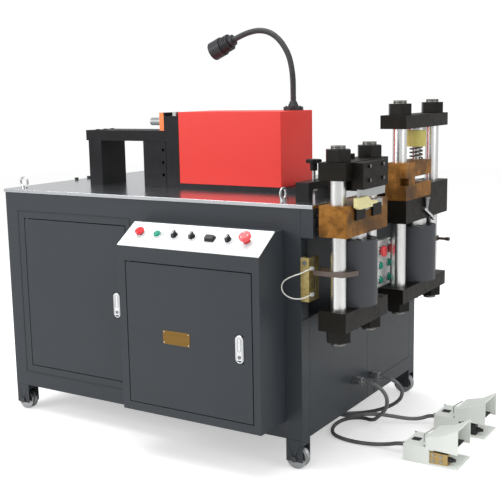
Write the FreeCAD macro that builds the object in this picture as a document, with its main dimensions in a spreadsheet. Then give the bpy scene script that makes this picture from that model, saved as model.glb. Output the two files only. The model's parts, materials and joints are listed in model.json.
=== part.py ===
import FreeCAD, Part
import math
import os
import Sketcher
from types import SimpleNamespace

from FreeCAD import Placement, Rotation, Vector

# Busbar processing machine: a cabinet on wheels with a shear press and a punch press on its right
# end, a bending unit and a lamp on its table, a control box on its front and two foot pedals.
# X runs along the cabinet to the right, Y to its back and Z up, in millimetres.

SIZES = {
    # Cabinet
    "cabinet_length": 1300,
    "cabinet_depth": 960,
    "cabinet_height": 768,
    "floor_gap": 104,
    "sheet": 2,
    "seam": 1,
    "tube": 50,
    "tube_wall": 3,
    "floor_sheet": 3,
    "recess_floor": 510,
    "leg_width": 62,
    "leg_depth": 54,
    "leg_wall": 4,
    "leg_clearance": 28,
    "leg_skirt": 20,
    "overrun": 5,
    # Wheels and their axle bolts
    "wheel_radius": 38,
    "wheel_width": 30,
    "wheel_groove": 3,
    "axle_radius": 6,
    "axle_head_radius": 11,
    "axle_head_height": 6,
    "axle_tail": 5,
    "running_fit": 0.06,
    # Table and the beam that carries the presses
    "table_thickness": 12,
    "table_overhang": 4,
    "beam_reach": 44,
    "beam_height": 93,
    "spacer_gap": 18,
    "spacer_inset": 32,
    "spacer_rim": 10,
    "block_bolt_radius": 8,
    "block_bolt_inset": 14,
    "block_bolt_edge": 22,
    "bumper_radius": 8,
    "bumper_height": 9,
    "bumper_inset": 10,
    "bumper_front": 394,
    "bumper_pitch": 76,
    # Lifting eyes
    "eye_inset_x": 54,
    "eye_right_inset": 108,
    "eye_inset_y": 50,
    "eye_right_front": 80,
    "eye_ring_radius": 18,
    "eye_wire_radius": 4,
    "eye_collar_radius": 11,
    "eye_collar_height": 5,
    # Left door and the control box door
    "door_side": 95,
    "door_post": 93,
    "door_bottom": 194,
    "door_rail": 100,
    "door_gap": 3,
    "door_return": 20,
    "pin_inset": 7,
    "pin_depth": 8,
    "pin_radius": 3,
    "pin_length": 14,
    "tab_width": 34,
    "tab_thickness": 4,
    "tab_reach": 20,
    "lock_inset": 49,
    "lock_bottom": 240,
    "lock_width": 29,
    "lock_height": 92,
    "lock_proud": 3,
    "lock_depth": 14,
    "lock_wall": 4,
    "lock_floor": 4,
    "lock_slack": 0.4,
    "paddle_thickness": 8,
    "paddle_pivot": 9,
    "paddle_pin": 2,
    "lock_tail": 5,
    # Control box
    "box_left": 620,
    "box_width": 558,
    "box_depth": 154,
    "box_bottom": 163,
    "box_front_height": 572,
    "panel_rise": 66,
    "panel_run": 100,
    "panel_thickness": 3,
    "panel_lip": 14,
    "box_door_inset": 33,
    "box_door_width": 495,
    "box_door_lift": 32,
    "box_door_height": 487,
    "box_lock_inset": 46,
    "box_lock_bottom": 195,
    "duct_width": 160,
    "duct_height": 140,
    "duct_inset": 180,
    "duct_bottom": 230,
    # Controls on the slanted panel
    "control_first": 66,
    "control_last": 70.2,
    "control_along": 60,
    "bezel_radius": 14.8,
    "bezel_wall": 2.4,
    "bezel_height": 6,
    "cap_slack": 0.4,
    "cap_low": 4.8,
    "cap_high": 12,
    "stem_radius": 5,
    "stem_length": 18,
    "mushroom_radius": 16,
    "mushroom_low": 10.5,
    "mushroom_thickness": 9,
    "stop_radius": 20,
    "stop_low": 20,
    "stop_thickness": 13,
    "stop_stem_radius": 9,
    "knob_disc_low": 1,
    "knob_disc_high": 8,
    "lever_width": 8,
    "lever_length": 21,
    "lever_height": 12,
    "twin_width": 30,
    "twin_length": 18,
    "twin_low": 4.8,
    "twin_height": 9,
    "twin_bezel_wall": 2,
    # Control gear inside the box
    "gear_margin": 50,
    "gear_plate": 3,
    "contactor_width": 46,
    "contactor_height": 84,
    "contactor_depth": 76,
    "contactor_pitch": 60,
    "contactor_level": 300,
    "transformer_side": 96,
    "transformer_level": 70,
    # Hydraulic power pack
    "tank_left": 1180,
    "tank_length": 460,
    "tank_back": 60,
    "tank_depth": 380,
    "tank_height": 270,
    "tank_wall": 3,
    "lid_thickness": 8,
    "motor_radius": 92,
    "motor_height": 250,
    "motor_cap_radius": 80,
    "motor_cap_height": 30,
    "pump_radius": 45,
    "pump_height": 150,
    "manifold_length": 120,
    "manifold_depth": 90,
    "manifold_height": 80,
    "valve_side": 44,
    "valve_length": 140,
    "pack_margin": 30,
    # Bending unit on the table
    "bend_front": 268,
    "bend_depth": 145,
    "bed_left": 660,
    "bed_length": 495,
    "bed_thickness": 19,
    "post_left": 1102,
    "post_width": 65,
    "beam_left": 1113,
    "beam_underside": 174,
    "beam_thickness": 40,
    "head_left": 720,
    "head_width": 60,
    "head_height": 268,
    "ram_length": 106,
    "ram_gap": 2,
    "ram_glide": 0.4,
    "ram_axis": 92,
    "ram_rod_radius": 30,
    "ram_piston_radius": 49.9,
    "ram_piston_length": 30,
    "ram_bore_radius": 50,
    "ram_tube_radius": 60,
    "ram_tube_length": 270,
    "ram_tube_wall": 12,
    "ram_screw_radius": 6,
    "ram_screw_depth": 12,
    "ram_screw_pitch": 47,
    "ram_screw_low": 48,
    "ram_screw_inset": 13,
    "cover_length": 438,
    "cover_depth": 232,
    "cover_height": 264,
    "cover_sheet": 2.5,
    "gauge_black": 7,
    "gauge_copper": 20,
    "gauge_width": 60,
    "gauge_height": 67,
    "gauge_knob_radius": 14,
    "gauge_knob_length": 45,
    "gauge_knob_level": 34,
    "head_nut_radius": 15,
    "head_nut_height": 15,
    # Work lamp
    "lamp_x": 262,
    "lamp_y": 430,
    "lamp_base_radius": 36,
    "lamp_base_height": 13,
    "lamp_cone_radius": 21,
    "lamp_cone_top": 12,
    "lamp_cone_height": 20,
    "neck_radius": 10,
    "lamp_hub_radius": 21,
    "lamp_hub_length": 18,
    "lamp_rib_radius": 31,
    "lamp_rib_length": 34,
    "lamp_drum_radius": 35,
    "lamp_drum_length": 48,
    "lamp_glass_depth": 8,
    "lamp_rim": 3,
    # Both presses
    "press_thickness": 96,
    "column_radius": 25,
    "column_fit": 0.08,
    "stud_radius": 23,
    "stud_proud": 11,
    "nut_radius": 43,
    "nut_height": 39,
    "centre_nut_height": 24,
    "centre_nut_radius": 14,
    "cylinder_radius": 75,
    "bore_radius": 55,
    "cylinder_floor": 20,
    "cylinder_cap": 22,
    "rod_radius": 40,
    "piston_height": 30,
    "piston_slack": 0.1,
    "piston_rest": 1,
    "rod_show": 20,
    # Shear press
    "shear_column": 44,
    "shear_pitch": 230,
    "shear_block_edge": 40,
    "shear_block_height": 99,
    "shear_top_edge": 44,
    "shear_bottom_edge": 48,
    "shear_throat": 78,
    "shear_top_height": 56,
    "shear_bottom_height": 64,
    "shear_cylinder_height": 215,
    "carrier_inset": 20,
    "carrier_edge": 32,
    "carrier_drop": 36,
    "holder_thickness": 36,
    "holder_front": 46,
    "holder_length": 187,
    "holder_drop": 28,
    "holder_rise": 54,
    "blade_front": 76,
    "blade_length": 197,
    "blade_thickness": 8,
    "blade_gap": 0.4,
    "blade_drop": 32,
    "lower_blade_width": 12,
    "lower_blade_height": 24,
    "screw_head_radius": 6,
    "screw_head_height": 4,
    "cap_screw_radius": 15,
    "cap_screw_height": 16,
    "pad_front": 34,
    "pad_length": 155,
    "pad_drop": 13,
    "pad_rise": 24,
    "pad_gap": 0.4,
    "pad_thickness": 12,
    "pad_heel": 22,
    "pad_body": 118,
    "pad_shoulder": 82,
    "pad_lip": 8,
    "bracket_front": 58,
    "bracket_pitch": 124,
    "bracket_width": 66,
    "bracket_height": 38,
    "bracket_thickness": 8,
    "bracket_drop": 10,
    # Punch press
    "punch_column": 527,
    "punch_pitch": 310,
    "punch_block_front": 52,
    "punch_block_rear": 48,
    "punch_block_top": 33,
    "punch_block_height": 81,
    "punch_rear_length": 174,
    "punch_rear_rise": 44,
    "punch_top_front": 61,
    "punch_top_rear": 40,
    "punch_top_height": 47,
    "punch_bottom_front": 72,
    "punch_bottom_height": 52,
    "punch_cylinder_height": 204,
    "punch_rod_show": 28,
    "die_block_width": 78,
    "die_block_front": 55,
    "die_jaw_height": 53,
    "die_slot_height": 26,
    "die_back_gap": 1,
    "die_upper_height": 52,
    "die_web": 82,
    "die_notch": 24,
    "die_radius": 22,
    "die_button_height": 20,
    "die_hole_slack": 0.6,
    "elbow_along": 178,
    "elbow_level": 8,
    "elbow_radius": 6,
    "elbow_height": 46,
    "elbow_back": 26,
    "elbow_run": 84,
    "elbow_fall": 40,
    "elbow_nut_radius": 9,
    "elbow_nut_length": 20,
    "punch_above": 118,
    "punch_stem_radius": 14,
    "punch_tip_gap": 1,
    "punch_flange_radius": 36.5,
    "punch_flange_height": 11,
    "urethane_radius": 35,
    "urethane_height": 60,
    "spring_radius": 22,
    "spring_wire": 3,
    "spring_lead": 6,
    # Trip arms on the columns and the sensor bracket
    "trip_level": 660,
    "trip_width": 16,
    "trip_thickness": 6,
    "trip_reach": 50,
    "trip_tail": 24,
    "collar_radius": 33,
    "finger_radius": 5,
    "finger_length": 34,
    "finger_tip_radius": 7,
    "finger_tip_length": 14,
    "sensor_sheet": 3,
    "sensor_low": 575,
    "sensor_height": 142,
    "sensor_reach": 30,
    "sensor_side": 65,
    "sensor_foot": 30,
    "sensor_hole_radius": 5,
    "sensor_hole_level": 122,
    "sensor_slot_low": 40,
    "sensor_slot_length": 56,
    "sensor_slot_radius": 5,
    "terminal_radius": 6,
    "terminal_reach": 5,
    "terminal_length": 12,
    "terminal_low": 24,
    "terminal_high": 108,
    "terminal_inset": 8,
    "lead_radius": 2,
    # Button stations
    "station_face": 50,
    "station_front": 452,
    "station_length": 140,
    "station_low": 531,
    "station_height": 171,
    "station_column": 38,
    "station_pitch": 75,
    "station_row_low": 29,
    "station_row_pitch": 53,
    "station_red_radius": 20,
    "station_red_lift": 5,
    # Hold down bridge
    "bridge_right": 11,
    "bridge_width": 50,
    "bridge_front": 78,
    "bridge_length": 160,
    "bridge_height": 61,
    "bridge_leg": 26,
    "bridge_lintel": 23,
    "spindle_radius": 6,
    "spindle_height": 90,
    "foot_radius": 12,
    "foot_height": 6,
    "foot_gap": 4,
    "foot_floor": 2,
    "foot_slack": 0.3,
    "hub_radius": 12,
    "hub_height": 25,
    "star_radius": 23,
    "star_height": 12,
    "star_drop": 20,
    # Foot pedals
    "pedal_front_x": 247,
    "pedal_front_y": 253,
    "pedal_rear_x": 238,
    "pedal_rear_y": 566,
    "pedal_length": 190,
    "pedal_width": 127,
    "pedal_plate": 6,
    "case_length": 92,
    "case_height": 54,
    "hood_back": 80,
    "hood_low": 56,
    "hood_side": 52,
    "hood_shoulder": 95,
    "hood_bend": 140,
    "hood_bend_height": 110,
    "hood_mouth": 138,
    "hood_sheet": 2.5,
    "treadle_gap": 1,
    "treadle_length": 72,
    "treadle_side": 11,
    "treadle_level": 62,
    "treadle_thickness": 5,
    "treadle_pin": 4,
    "treadle_ear": 10,
    "switch_side": 8,
    "switch_length": 62,
    "switch_width": 26,
    "switch_height": 38,
    "pedal_gland_radius": 11,
    "pedal_gland_length": 10,
    "cable_level": 32,
    "cable_radius": 7,
    # Cable glands on the cabinet
    "gland_length": 52,
    "gland_hex_radius": 14,
    "gland_hex_length": 12,
    "gland_nut_radius": 12,
    "gland_nut_length": 18,
    "gland_front_y": 381,
    "gland_front_z": 207,
    "gland_rear_y": 524,
    "gland_rear_z": 187,
}

RUBBER_SHARE = 0.45
SPRING_TURNS = 3
QUARTERS = 4

# Routes of the two pedal cables and of the sensor lead, from the photograph, before the row shift
FRONT_CABLE_ROUTE = [
    (52, 381, 207), (86, 381, 207), (120, 396, 173), (119, 420, 127), (93, 448, 84),
    (56, 482, 48), (18, 516, 14), (-36, 546, 7.5), (-84, 514, 7.5), (-98, 450, 7.5),
    (-88, 388, 7.5), (-58, 334, 7.5), (-3, 309, 7.5), (56, 306, 7.5), (110, 313, 9),
    (160, 319, 16), (210, 316.5, 32), (237, 316.5, 32),
]
REAR_CABLE_ROUTE = [
    (52, 524, 187), (92, 524, 187), (121, 545, 149), (112, 568, 108), (80, 590, 72),
    (36, 604, 42), (-12, 604, 20), (-62, 590, 8), (-104, 552, 10), (-114, 494, 24),
    (-68, 462, 36), (-14, 482, 44), (34, 520, 42), (80, 556, 30), (126, 588, 18),
    (168, 611, 18), (200, 629.5, 32), (228, 629.5, 32),
]
SENSOR_LEAD_ROUTE = [
    (36, -4, 683), (36, -20, 683), (22, -42, 674), (-6, -56, 664), (-32, -60, 648),
    (-42, -56, 624), (-32, -50, 602), (-8, -42, 590), (18, -30, 590), (36, -18, 599), (36, -4, 599),
]
LAMP_RIB_SHARE = 0.6
LAMP_NECK_ROUTE = [
    (0, 0), (0, 92), (-15, 163), (-50, 216), (-92, 247), (-138, 257), (-184, 251), (-222, 239),
    (-250, 227),
]

doc = FreeCAD.newDocument("BusbarMachine")
sheet_object = doc.addObject("Spreadsheet::Sheet", "Sizes")
for row, (name, number) in enumerate(SIZES.items(), start=1):
    sheet_object.set(f"A{row}", name)
    sheet_object.set(f"B{row}", str(number))
    sheet_object.setAlias(f"B{row}", name)
doc.recompute()


class Size:
    """A number of the sheet, or one worked out from such numbers, with its expression."""

    def __init__(self, number, text):
        self.number = number
        self.text = text

    def __add__(self, other):
        other = as_size(other)
        return Size(self.number + other.number, f"({self.text} + {other.text})")

    def __sub__(self, other):
        other = as_size(other)
        return Size(self.number - other.number, f"({self.text} - {other.text})")

    def __mul__(self, other):
        other = as_size(other)
        return Size(self.number * other.number, f"({self.text} * {other.text})")

    def __truediv__(self, other):
        other = as_size(other)
        return Size(self.number / other.number, f"({self.text} / {other.text})")

    def __radd__(self, other):
        return as_size(other) + self

    def __rsub__(self, other):
        return as_size(other) - self

    def __rmul__(self, other):
        return as_size(other) * self

    def __neg__(self):
        return Size(-self.number, f"(-{self.text})")


def as_size(value):
    return value if isinstance(value, Size) else Size(float(value), f"{value:g}")


def diagonal(first, second):
    """Length of the slope whose run and rise are given."""
    text = f"sqrt({first.text} * {first.text} + {second.text} * {second.text})"
    return Size(math.hypot(first.number, second.number), text)


S = SimpleNamespace(**{
    name: Size(float(sheet_object.get(name)), f"Sizes.{name}") for name in SIZES
})

# Levels and planes that several pieces share
BODY_TOP = S.floor_gap + S.cabinet_height
TABLE = BODY_TOP + S.table_thickness
PEDAL_END = S.pedal_front_x + S.pedal_length
WHEEL_END = S.cabinet_length + S.wheel_radius - S.leg_width / 2
SHIFT_X = (WHEEL_END - PEDAL_END) / 2
SHIFT_Y = (S.box_depth + S.lock_proud - S.cabinet_depth - S.axle_head_height) / 2
PRESS_LEFT = S.beam_reach + S.spacer_gap
PRESS_RIGHT = PRESS_LEFT + S.press_thickness
PRESS_X = PRESS_LEFT + S.press_thickness / 2
BEAM_LOW = BODY_TOP - S.beam_height

TURN = {
    "X": Rotation(Vector(0, 1, 0), 90),
    "Y": Rotation(Vector(1, 0, 0), -90),
    "Z": Rotation(),
    "-X": Rotation(Vector(0, 1, 0), -90),
    "-Y": Rotation(Vector(1, 0, 0), 90),
}

nodes = []


def bind(thing, prop, value):
    """Tie a property to its expression in the sheet."""
    thing.setExpression(prop, as_size(value).text)


def settle(thing, x, y, z, rotation=None):
    """Put a piece at a point of the machine, shifted to the row frame."""
    if rotation is not None:
        thing.Placement = Placement(Vector(), rotation)
    bind(thing, "Placement.Base.x", as_size(x) + SHIFT_X)
    bind(thing, "Placement.Base.y", as_size(y) + SHIFT_Y)
    bind(thing, "Placement.Base.z", as_size(z))
    return thing


def slab(name, x, y, z):
    """Rectangular block between three pairs of planes."""
    box = doc.addObject("Part::Box", name)
    for prop, (low, high) in zip(("Length", "Width", "Height"), (x, y, z)):
        bind(box, prop, as_size(high) - low)
    return settle(box, x[0], y[0], z[0])


def rod(name, axis, start, length, radius):
    """Cylinder from its start point along an axis."""
    cylinder = doc.addObject("Part::Cylinder", name)
    bind(cylinder, "Radius", radius)
    bind(cylinder, "Height", length)
    return settle(cylinder, *start, rotation=TURN[axis])


def hexagon(name, axis, start, length, radius):
    """Hexagonal prism, its radius taken to the corners."""
    prism = doc.addObject("Part::Prism", name)
    prism.Polygon = 6
    bind(prism, "Circumradius", radius)
    bind(prism, "Height", length)
    return settle(prism, *start, rotation=TURN[axis])


def cut(name, base, *tools):
    result = doc.addObject("Part::Cut", name)
    result.Base = base
    result.Tool = tools[0] if len(tools) == 1 else fuse(name + "_tools", *tools)
    return result


def fuse(name, *parts):
    result = doc.addObject("Part::MultiFuse", name)
    result.Shapes = list(parts)
    return result


def group(name, *parts):
    """Separate solids kept side by side in one node."""
    result = doc.addObject("Part::Compound", name)
    result.Links = list(parts)
    return result


def node(name, thing):
    thing.Label = name
    nodes.append(thing)
    return thing


def pin_corner(sketch, kind, index, value):
    """Fix one coordinate of a line's start, tied to the sheet."""
    value = as_size(value)
    if value.number == 0:
        axis = -2 if kind == "DistanceX" else -1
        sketch.addConstraint(Sketcher.Constraint("PointOnObject", index, 1, axis))
        return
    if value.number > 0:
        constraint = Sketcher.Constraint(kind, -1, 1, index, 1, value.number)
    else:
        value = -value
        constraint = Sketcher.Constraint(kind, index, 1, -1, 1, value.number)
    place = sketch.addConstraint(constraint)
    sketch.setExpression(f"Constraints[{place}]", value.text)


def outline(body, role, corners):
    """Closed sketch of straight lines on one of the body's own planes."""
    sketch = body.newObject("Sketcher::SketchObject", "Outline")
    plane = next(item for item in body.Origin.OriginFeatures if item.Role == role)
    sketch.AttachmentSupport = [(plane, "")]
    sketch.MapMode = "FlatFace"
    corners = [(as_size(first), as_size(second)) for first, second in corners]
    points = [Vector(first.number, second.number, 0) for first, second in corners]
    count = len(points)
    for index, point in enumerate(points):
        sketch.addGeometry(Part.LineSegment(point, points[(index + 1) % count]), False)
    for index in range(count):
        sketch.addConstraint(
            Sketcher.Constraint("Coincident", index, 2, (index + 1) % count, 1))
    for index, (first, second) in enumerate(corners):
        pin_corner(sketch, "DistanceX", index, first)
        pin_corner(sketch, "DistanceY", index, second)
    return sketch


def turned(name, axis, start, profile):
    """Piece turned about an axis: its profile is a list of radius and height."""
    body = doc.addObject("PartDesign::Body", name)
    sketch = outline(body, "XZ_Plane", profile)
    turn = body.newObject("PartDesign::Revolution", "Turning")
    turn.Profile = sketch
    turn.ReferenceAxis = (sketch, ["V_Axis"])
    turn.Angle = 360
    body.Tip = turn
    return settle(body, *start, rotation=TURN[axis])


def profiled(name, role, start, corners, length):
    """Plate or bar of constant outline, pushed along +X from YZ or along +Y from XZ."""
    body = doc.addObject("PartDesign::Body", name)
    sketch = outline(body, role, corners)
    pad = body.newObject("PartDesign::Pad", "Thickness")
    pad.Profile = sketch
    pad.Reversed = role == "XZ_Plane"
    bind(pad, "Length", length)
    body.Tip = pad
    return settle(body, *start)


def hollow_tube(name, axis, x, y, z):
    """Square tube, open at both ends."""
    outer = slab(name + "_outer", x, y, z)
    spans = []
    for letter, (low, high) in zip("XYZ", (x, y, z)):
        wall = 0 if letter == axis else S.tube_wall
        spans.append((as_size(low) + wall, as_size(high) - wall))
    return cut(name, outer, slab(name + "_bore", *spans))


def shaped(name, shape):
    """Piece whose shape is worked out here, moved to the row frame."""
    feature = doc.addObject("Part::Feature", name)
    feature.Shape = shape
    feature.Placement = Placement(Vector(SHIFT_X.number, SHIFT_Y.number, 0), Rotation())
    return feature


def path_along(points, share=RUBBER_SHARE):
    """Straight runs joined by tangent arcs, as large as their runs allow; returns wire and radii."""
    edges, radii = [], []
    last = points[0]
    for before, corner, after in zip(points, points[1:], points[2:]):
        back = (before - corner).normalize()
        ahead = (after - corner).normalize()
        run = min((before - corner).Length, (after - corner).Length)
        turn = math.pi - back.getAngle(ahead)
        reach = share * run
        radius = reach / math.tan(turn / 2)
        start = corner + back * reach
        end = corner + ahead * reach
        bisector = (back + ahead).normalize()
        middle = corner + bisector * (math.hypot(radius, reach) - radius)
        edges.append(Part.LineSegment(last, start).toShape())
        edges.append(Part.Arc(start, middle, end).toShape())
        radii.append(radius)
        last = end
    edges.append(Part.LineSegment(last, points[-1]).toShape())
    return Part.Wire(edges), radii


def swept(wire, direction, radius):
    """Round tube along a wire that starts in the given direction."""
    start = wire.OrderedVertexes[0].Point
    ring = Part.Wire([Part.Circle(start, direction, radius).toShape()])
    return wire.makePipeShell([ring], True, False)


def flexible(name, points, radius):
    """Cord or gooseneck as a tube, with its least radius and its volume set against its length."""
    points = [Vector(*point) for point in points]
    wire, radii = path_along(points)
    tube = swept(wire, points[1] - points[0], radius)
    expected = math.pi * radius ** 2 * wire.Length
    print(f"{name}: length {wire.Length:.0f}, least radius {min(radii):.1f} at point "
          f"{radii.index(min(radii)) + 1}, volume share {tube.Volume / expected:.4f}")
    return shaped(name, tube)


def cabinet_frame():
    """Welded square tubes with a leg under each corner."""
    left, right = -S.cabinet_length + S.sheet, -S.sheet
    front, back = S.sheet, S.cabinet_depth - S.sheet
    low, high = S.floor_gap, BODY_TOP
    pieces = []
    for side, (y0, y1) in (("front", (front, front + S.tube)), ("back", (back - S.tube, back))):
        for level, (z0, z1) in (("low", (low, low + S.tube)), ("top", (high - S.tube, high))):
            pieces.append(hollow_tube(f"rail_{side}_{level}", "X", (left, right), (y0, y1), (z0, z1)))
        for end, (x0, x1) in (("left", (left, left + S.tube)), ("right", (right - S.tube, right))):
            pieces.append(hollow_tube(
                f"post_{side}_{end}", "Z", (x0, x1), (y0, y1), (low + S.tube, high - S.tube)))
    for end, (x0, x1) in (("left", (left, left + S.tube)), ("right", (right - S.tube, right))):
        for level, (z0, z1) in (("low", (low, low + S.tube)), ("top", (high - S.tube, high))):
            pieces.append(hollow_tube(
                f"tie_{end}_{level}", "Y", (x0, x1), (front + S.tube, back - S.tube), (z0, z1)))
    door_side = -S.box_left - S.door_post + S.door_gap * 4
    pieces.append(hollow_tube(
        "door_post", "Z", (door_side, door_side + S.tube), (front, front + S.tube),
        (low + S.tube, high - S.tube)))
    for x0 in (-S.cabinet_length, -S.leg_width):
        for y0 in (as_size(0), S.cabinet_depth - S.leg_depth):
            pieces.append(leg(x0, y0))
    return node("cabinet_frame", group("cabinet_frame", *pieces))


def leg(x0, y0):
    """Leg with plates in front and behind for the axle, and short skirts at its sides."""
    x1, y1 = x0 + S.leg_width, y0 + S.leg_depth
    outer = slab("leg_outer", (x0, x1), (y0, y1), (S.leg_clearance, S.floor_gap))
    inner = slab("leg_inner", (x0 + S.leg_wall, x1 - S.leg_wall), (y0 + S.leg_wall, y1 - S.leg_wall),
                 (S.leg_clearance - S.overrun, S.floor_gap + S.overrun))
    window = slab("leg_window", (x0 - S.overrun, x1 + S.overrun), (y0 + S.leg_wall, y1 - S.leg_wall),
                  (S.leg_clearance - S.overrun, S.floor_gap - S.leg_skirt))
    hole = rod("leg_axle_hole", "Y", (x0 + S.leg_width / 2, y0 - S.overrun, S.wheel_radius),
               S.leg_depth + S.overrun * 2, S.axle_radius)
    return cut("leg", outer, inner, window, hole)


def hinge_tab(x, y, z, name="hinge_tab"):
    """Tab behind the sheet that holds a hinge pin, given by the pin's own place."""
    tab = slab(name, (x - S.tab_width / 2, x + S.tab_width / 2),
               (y - S.pin_depth + S.sheet, y - S.pin_depth + S.sheet + S.tab_reach),
               (z, z + S.tab_thickness))
    hole = rod(name + "_hole", "Z", (x, y, z - S.overrun), S.tab_thickness + S.overrun * 2,
               S.pin_radius)
    return cut(name, tab, hole)


def door_places():
    """Lower left front corner, width and height of each door, with the place of its lock."""
    left = S.door_side - S.cabinet_length
    width = -S.box_left - S.door_post - left
    height = BODY_TOP - S.door_rail - S.door_bottom
    return {
        "left_door": (left, as_size(0), S.door_bottom, width, height,
                      S.lock_inset, S.lock_bottom),
        "box_door": (-S.box_left + S.box_door_inset, -S.box_depth, S.box_bottom + S.box_door_lift,
                     S.box_door_width, S.box_door_height, S.box_lock_inset, S.box_lock_bottom),
    }


def pin_places(door):
    """Places of the tabs and the pins above and below a door."""
    x, y, z, _, height, _, _ = door_places()[door]
    pin_x, pin_y = x + S.pin_inset, y + S.pin_depth
    above = z + height + S.door_gap
    below = z - S.door_gap - S.tab_thickness
    return pin_x, pin_y, below, above


def cabinet_panels():
    """Sheets round the frame, the black recess behind the presses and the tabs of the left door."""
    left, depth = -S.cabinet_length, S.cabinet_depth
    x, _, z, width, height, _, _ = door_places()["left_door"]
    front = slab("front_sheet", (left, 0), (0, S.sheet), (S.floor_gap, BODY_TOP))
    doorway = slab("doorway", (x - S.door_gap, x + width + S.door_gap),
                   (-S.overrun, S.sheet + S.overrun), (z - S.door_gap, z + height + S.door_gap))
    pass_left = -S.box_left + S.duct_inset
    pass_low = S.box_bottom + S.duct_bottom
    cable_pass = slab("cable_pass", (pass_left, pass_left + S.duct_width),
                      (-S.overrun, S.sheet + S.overrun), (pass_low, pass_low + S.duct_height))
    pin_x, pin_y, below, above = pin_places("left_door")
    node("cabinet_front", group("cabinet_front", cut("front_sheet", front, doorway, cable_pass),
                                hinge_tab(pin_x, pin_y, below), hinge_tab(pin_x, pin_y, above)))
    pieces = [
        slab("rear_sheet", (left, 0), (depth - S.sheet, depth), (S.floor_gap, BODY_TOP)),
        slab("left_sheet", (left, left + S.sheet), (S.sheet, depth - S.sheet), (S.floor_gap, BODY_TOP)),
        slab("beam_sheet", (-S.sheet, 0), (S.sheet, depth - S.sheet), (BEAM_LOW, BODY_TOP)),
        slab("floor_sheet", (left + S.sheet + S.tube, -S.sheet - S.tube),
             (S.sheet + S.tube, depth - S.sheet - S.tube), (S.floor_gap, S.floor_gap + S.floor_sheet)),
    ]
    seams = [S.sheet, S.leg_depth, depth / 2 + S.tube / 2, depth - S.leg_depth, depth - S.sheet]
    for first, second in zip(seams, seams[1:]):
        strip = slab("end_sheet", (-S.sheet, 0), (first, second - S.seam), (S.floor_gap, S.recess_floor))
        pieces.append(strip)
    recess_back = -S.sheet - S.tube
    pieces.append(slab("recess_back", (recess_back - S.sheet, recess_back),
                       (S.sheet + S.tube, depth - S.sheet - S.tube),
                       (S.recess_floor - S.sheet, BODY_TOP - S.tube)))
    pieces.append(slab("recess_shelf", (recess_back, 0), (S.sheet + S.tube, depth - S.sheet - S.tube),
                       (S.recess_floor, S.recess_floor + S.sheet)))
    return node("cabinet_panels", group("cabinet_panels", *pieces))


def table_top():
    plate = slab("table_top", (-S.cabinet_length - S.table_overhang, S.beam_reach),
                 (-S.table_overhang, S.cabinet_depth + S.table_overhang), (BODY_TOP, TABLE))
    return node("table_top", plate)


def press_beam():
    """Beam across the right end, with a spacer for each press."""
    pieces = [slab("beam", (0, S.beam_reach), (0, S.cabinet_depth), (BEAM_LOW, BODY_TOP))]
    for y0, y1, z0, z1 in block_faces():
        low = as_size(max(z0, BEAM_LOW, key=lambda level: level.number))
        pieces.append(slab("spacer", (S.beam_reach, PRESS_LEFT), (y0 + S.spacer_inset, y1 - S.spacer_inset),
                           (low + S.spacer_rim, z1 - S.spacer_rim)))
    return node("press_beam", group("press_beam", *pieces))


def block_faces():
    """Front, back, bottom and top of the face by which each press block is bolted on."""
    shear_front = S.shear_column - S.shear_block_edge
    shear_back = S.shear_column + S.shear_pitch + S.shear_block_edge
    punch_front = S.punch_column - S.punch_block_front
    punch_back = S.punch_column + S.punch_pitch + S.punch_block_rear
    punch_top = TABLE - S.punch_block_top
    return [
        (shear_front, shear_back, TABLE - S.shear_block_height, BODY_TOP),
        (punch_front, punch_back, punch_top - S.punch_block_height, punch_top),
    ]


def block_bolts():
    """Bolts that hold the two blocks to the beam, seen in the gap between them."""
    bolts = []
    for y0, y1, z0, z1 in block_faces():
        low = as_size(max(z0, BEAM_LOW, key=lambda level: level.number))
        for y in (y0 + S.block_bolt_inset, y1 - S.block_bolt_inset):
            for z in (low + S.block_bolt_edge, z1 - S.block_bolt_edge):
                bolts.append(rod("block_bolt", "X", (S.beam_reach, y, z), S.spacer_gap,
                                 S.block_bolt_radius))
    return bolts


def lifting_eye(x, y, axis):
    """Ring bolt standing on the table."""
    ring = doc.addObject("Part::Torus", "eye_ring")
    bind(ring, "Radius1", S.eye_ring_radius)
    bind(ring, "Radius2", S.eye_wire_radius)
    centre = TABLE + S.eye_collar_height + S.eye_ring_radius
    settle(ring, x, y, centre, rotation=TURN[axis])
    collar = rod("eye_collar", "Z", (x, y, TABLE), S.eye_collar_height + S.eye_wire_radius / 2,
                 S.eye_collar_radius)
    return fuse("lifting_eye", ring, collar)


def lifting_eyes():
    """Four ring bolts, those at the right end turned to face along the table."""
    left = -S.cabinet_length + S.eye_inset_x
    pieces = []
    for x, inset, axis in ((left, S.eye_inset_y, "Y"), (-S.eye_right_inset, S.eye_right_front, "X")):
        for y in (inset, S.cabinet_depth - inset):
            pieces.append(lifting_eye(x, y, axis))
    return node("lifting_eyes", group("lifting_eyes", *pieces))


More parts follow.
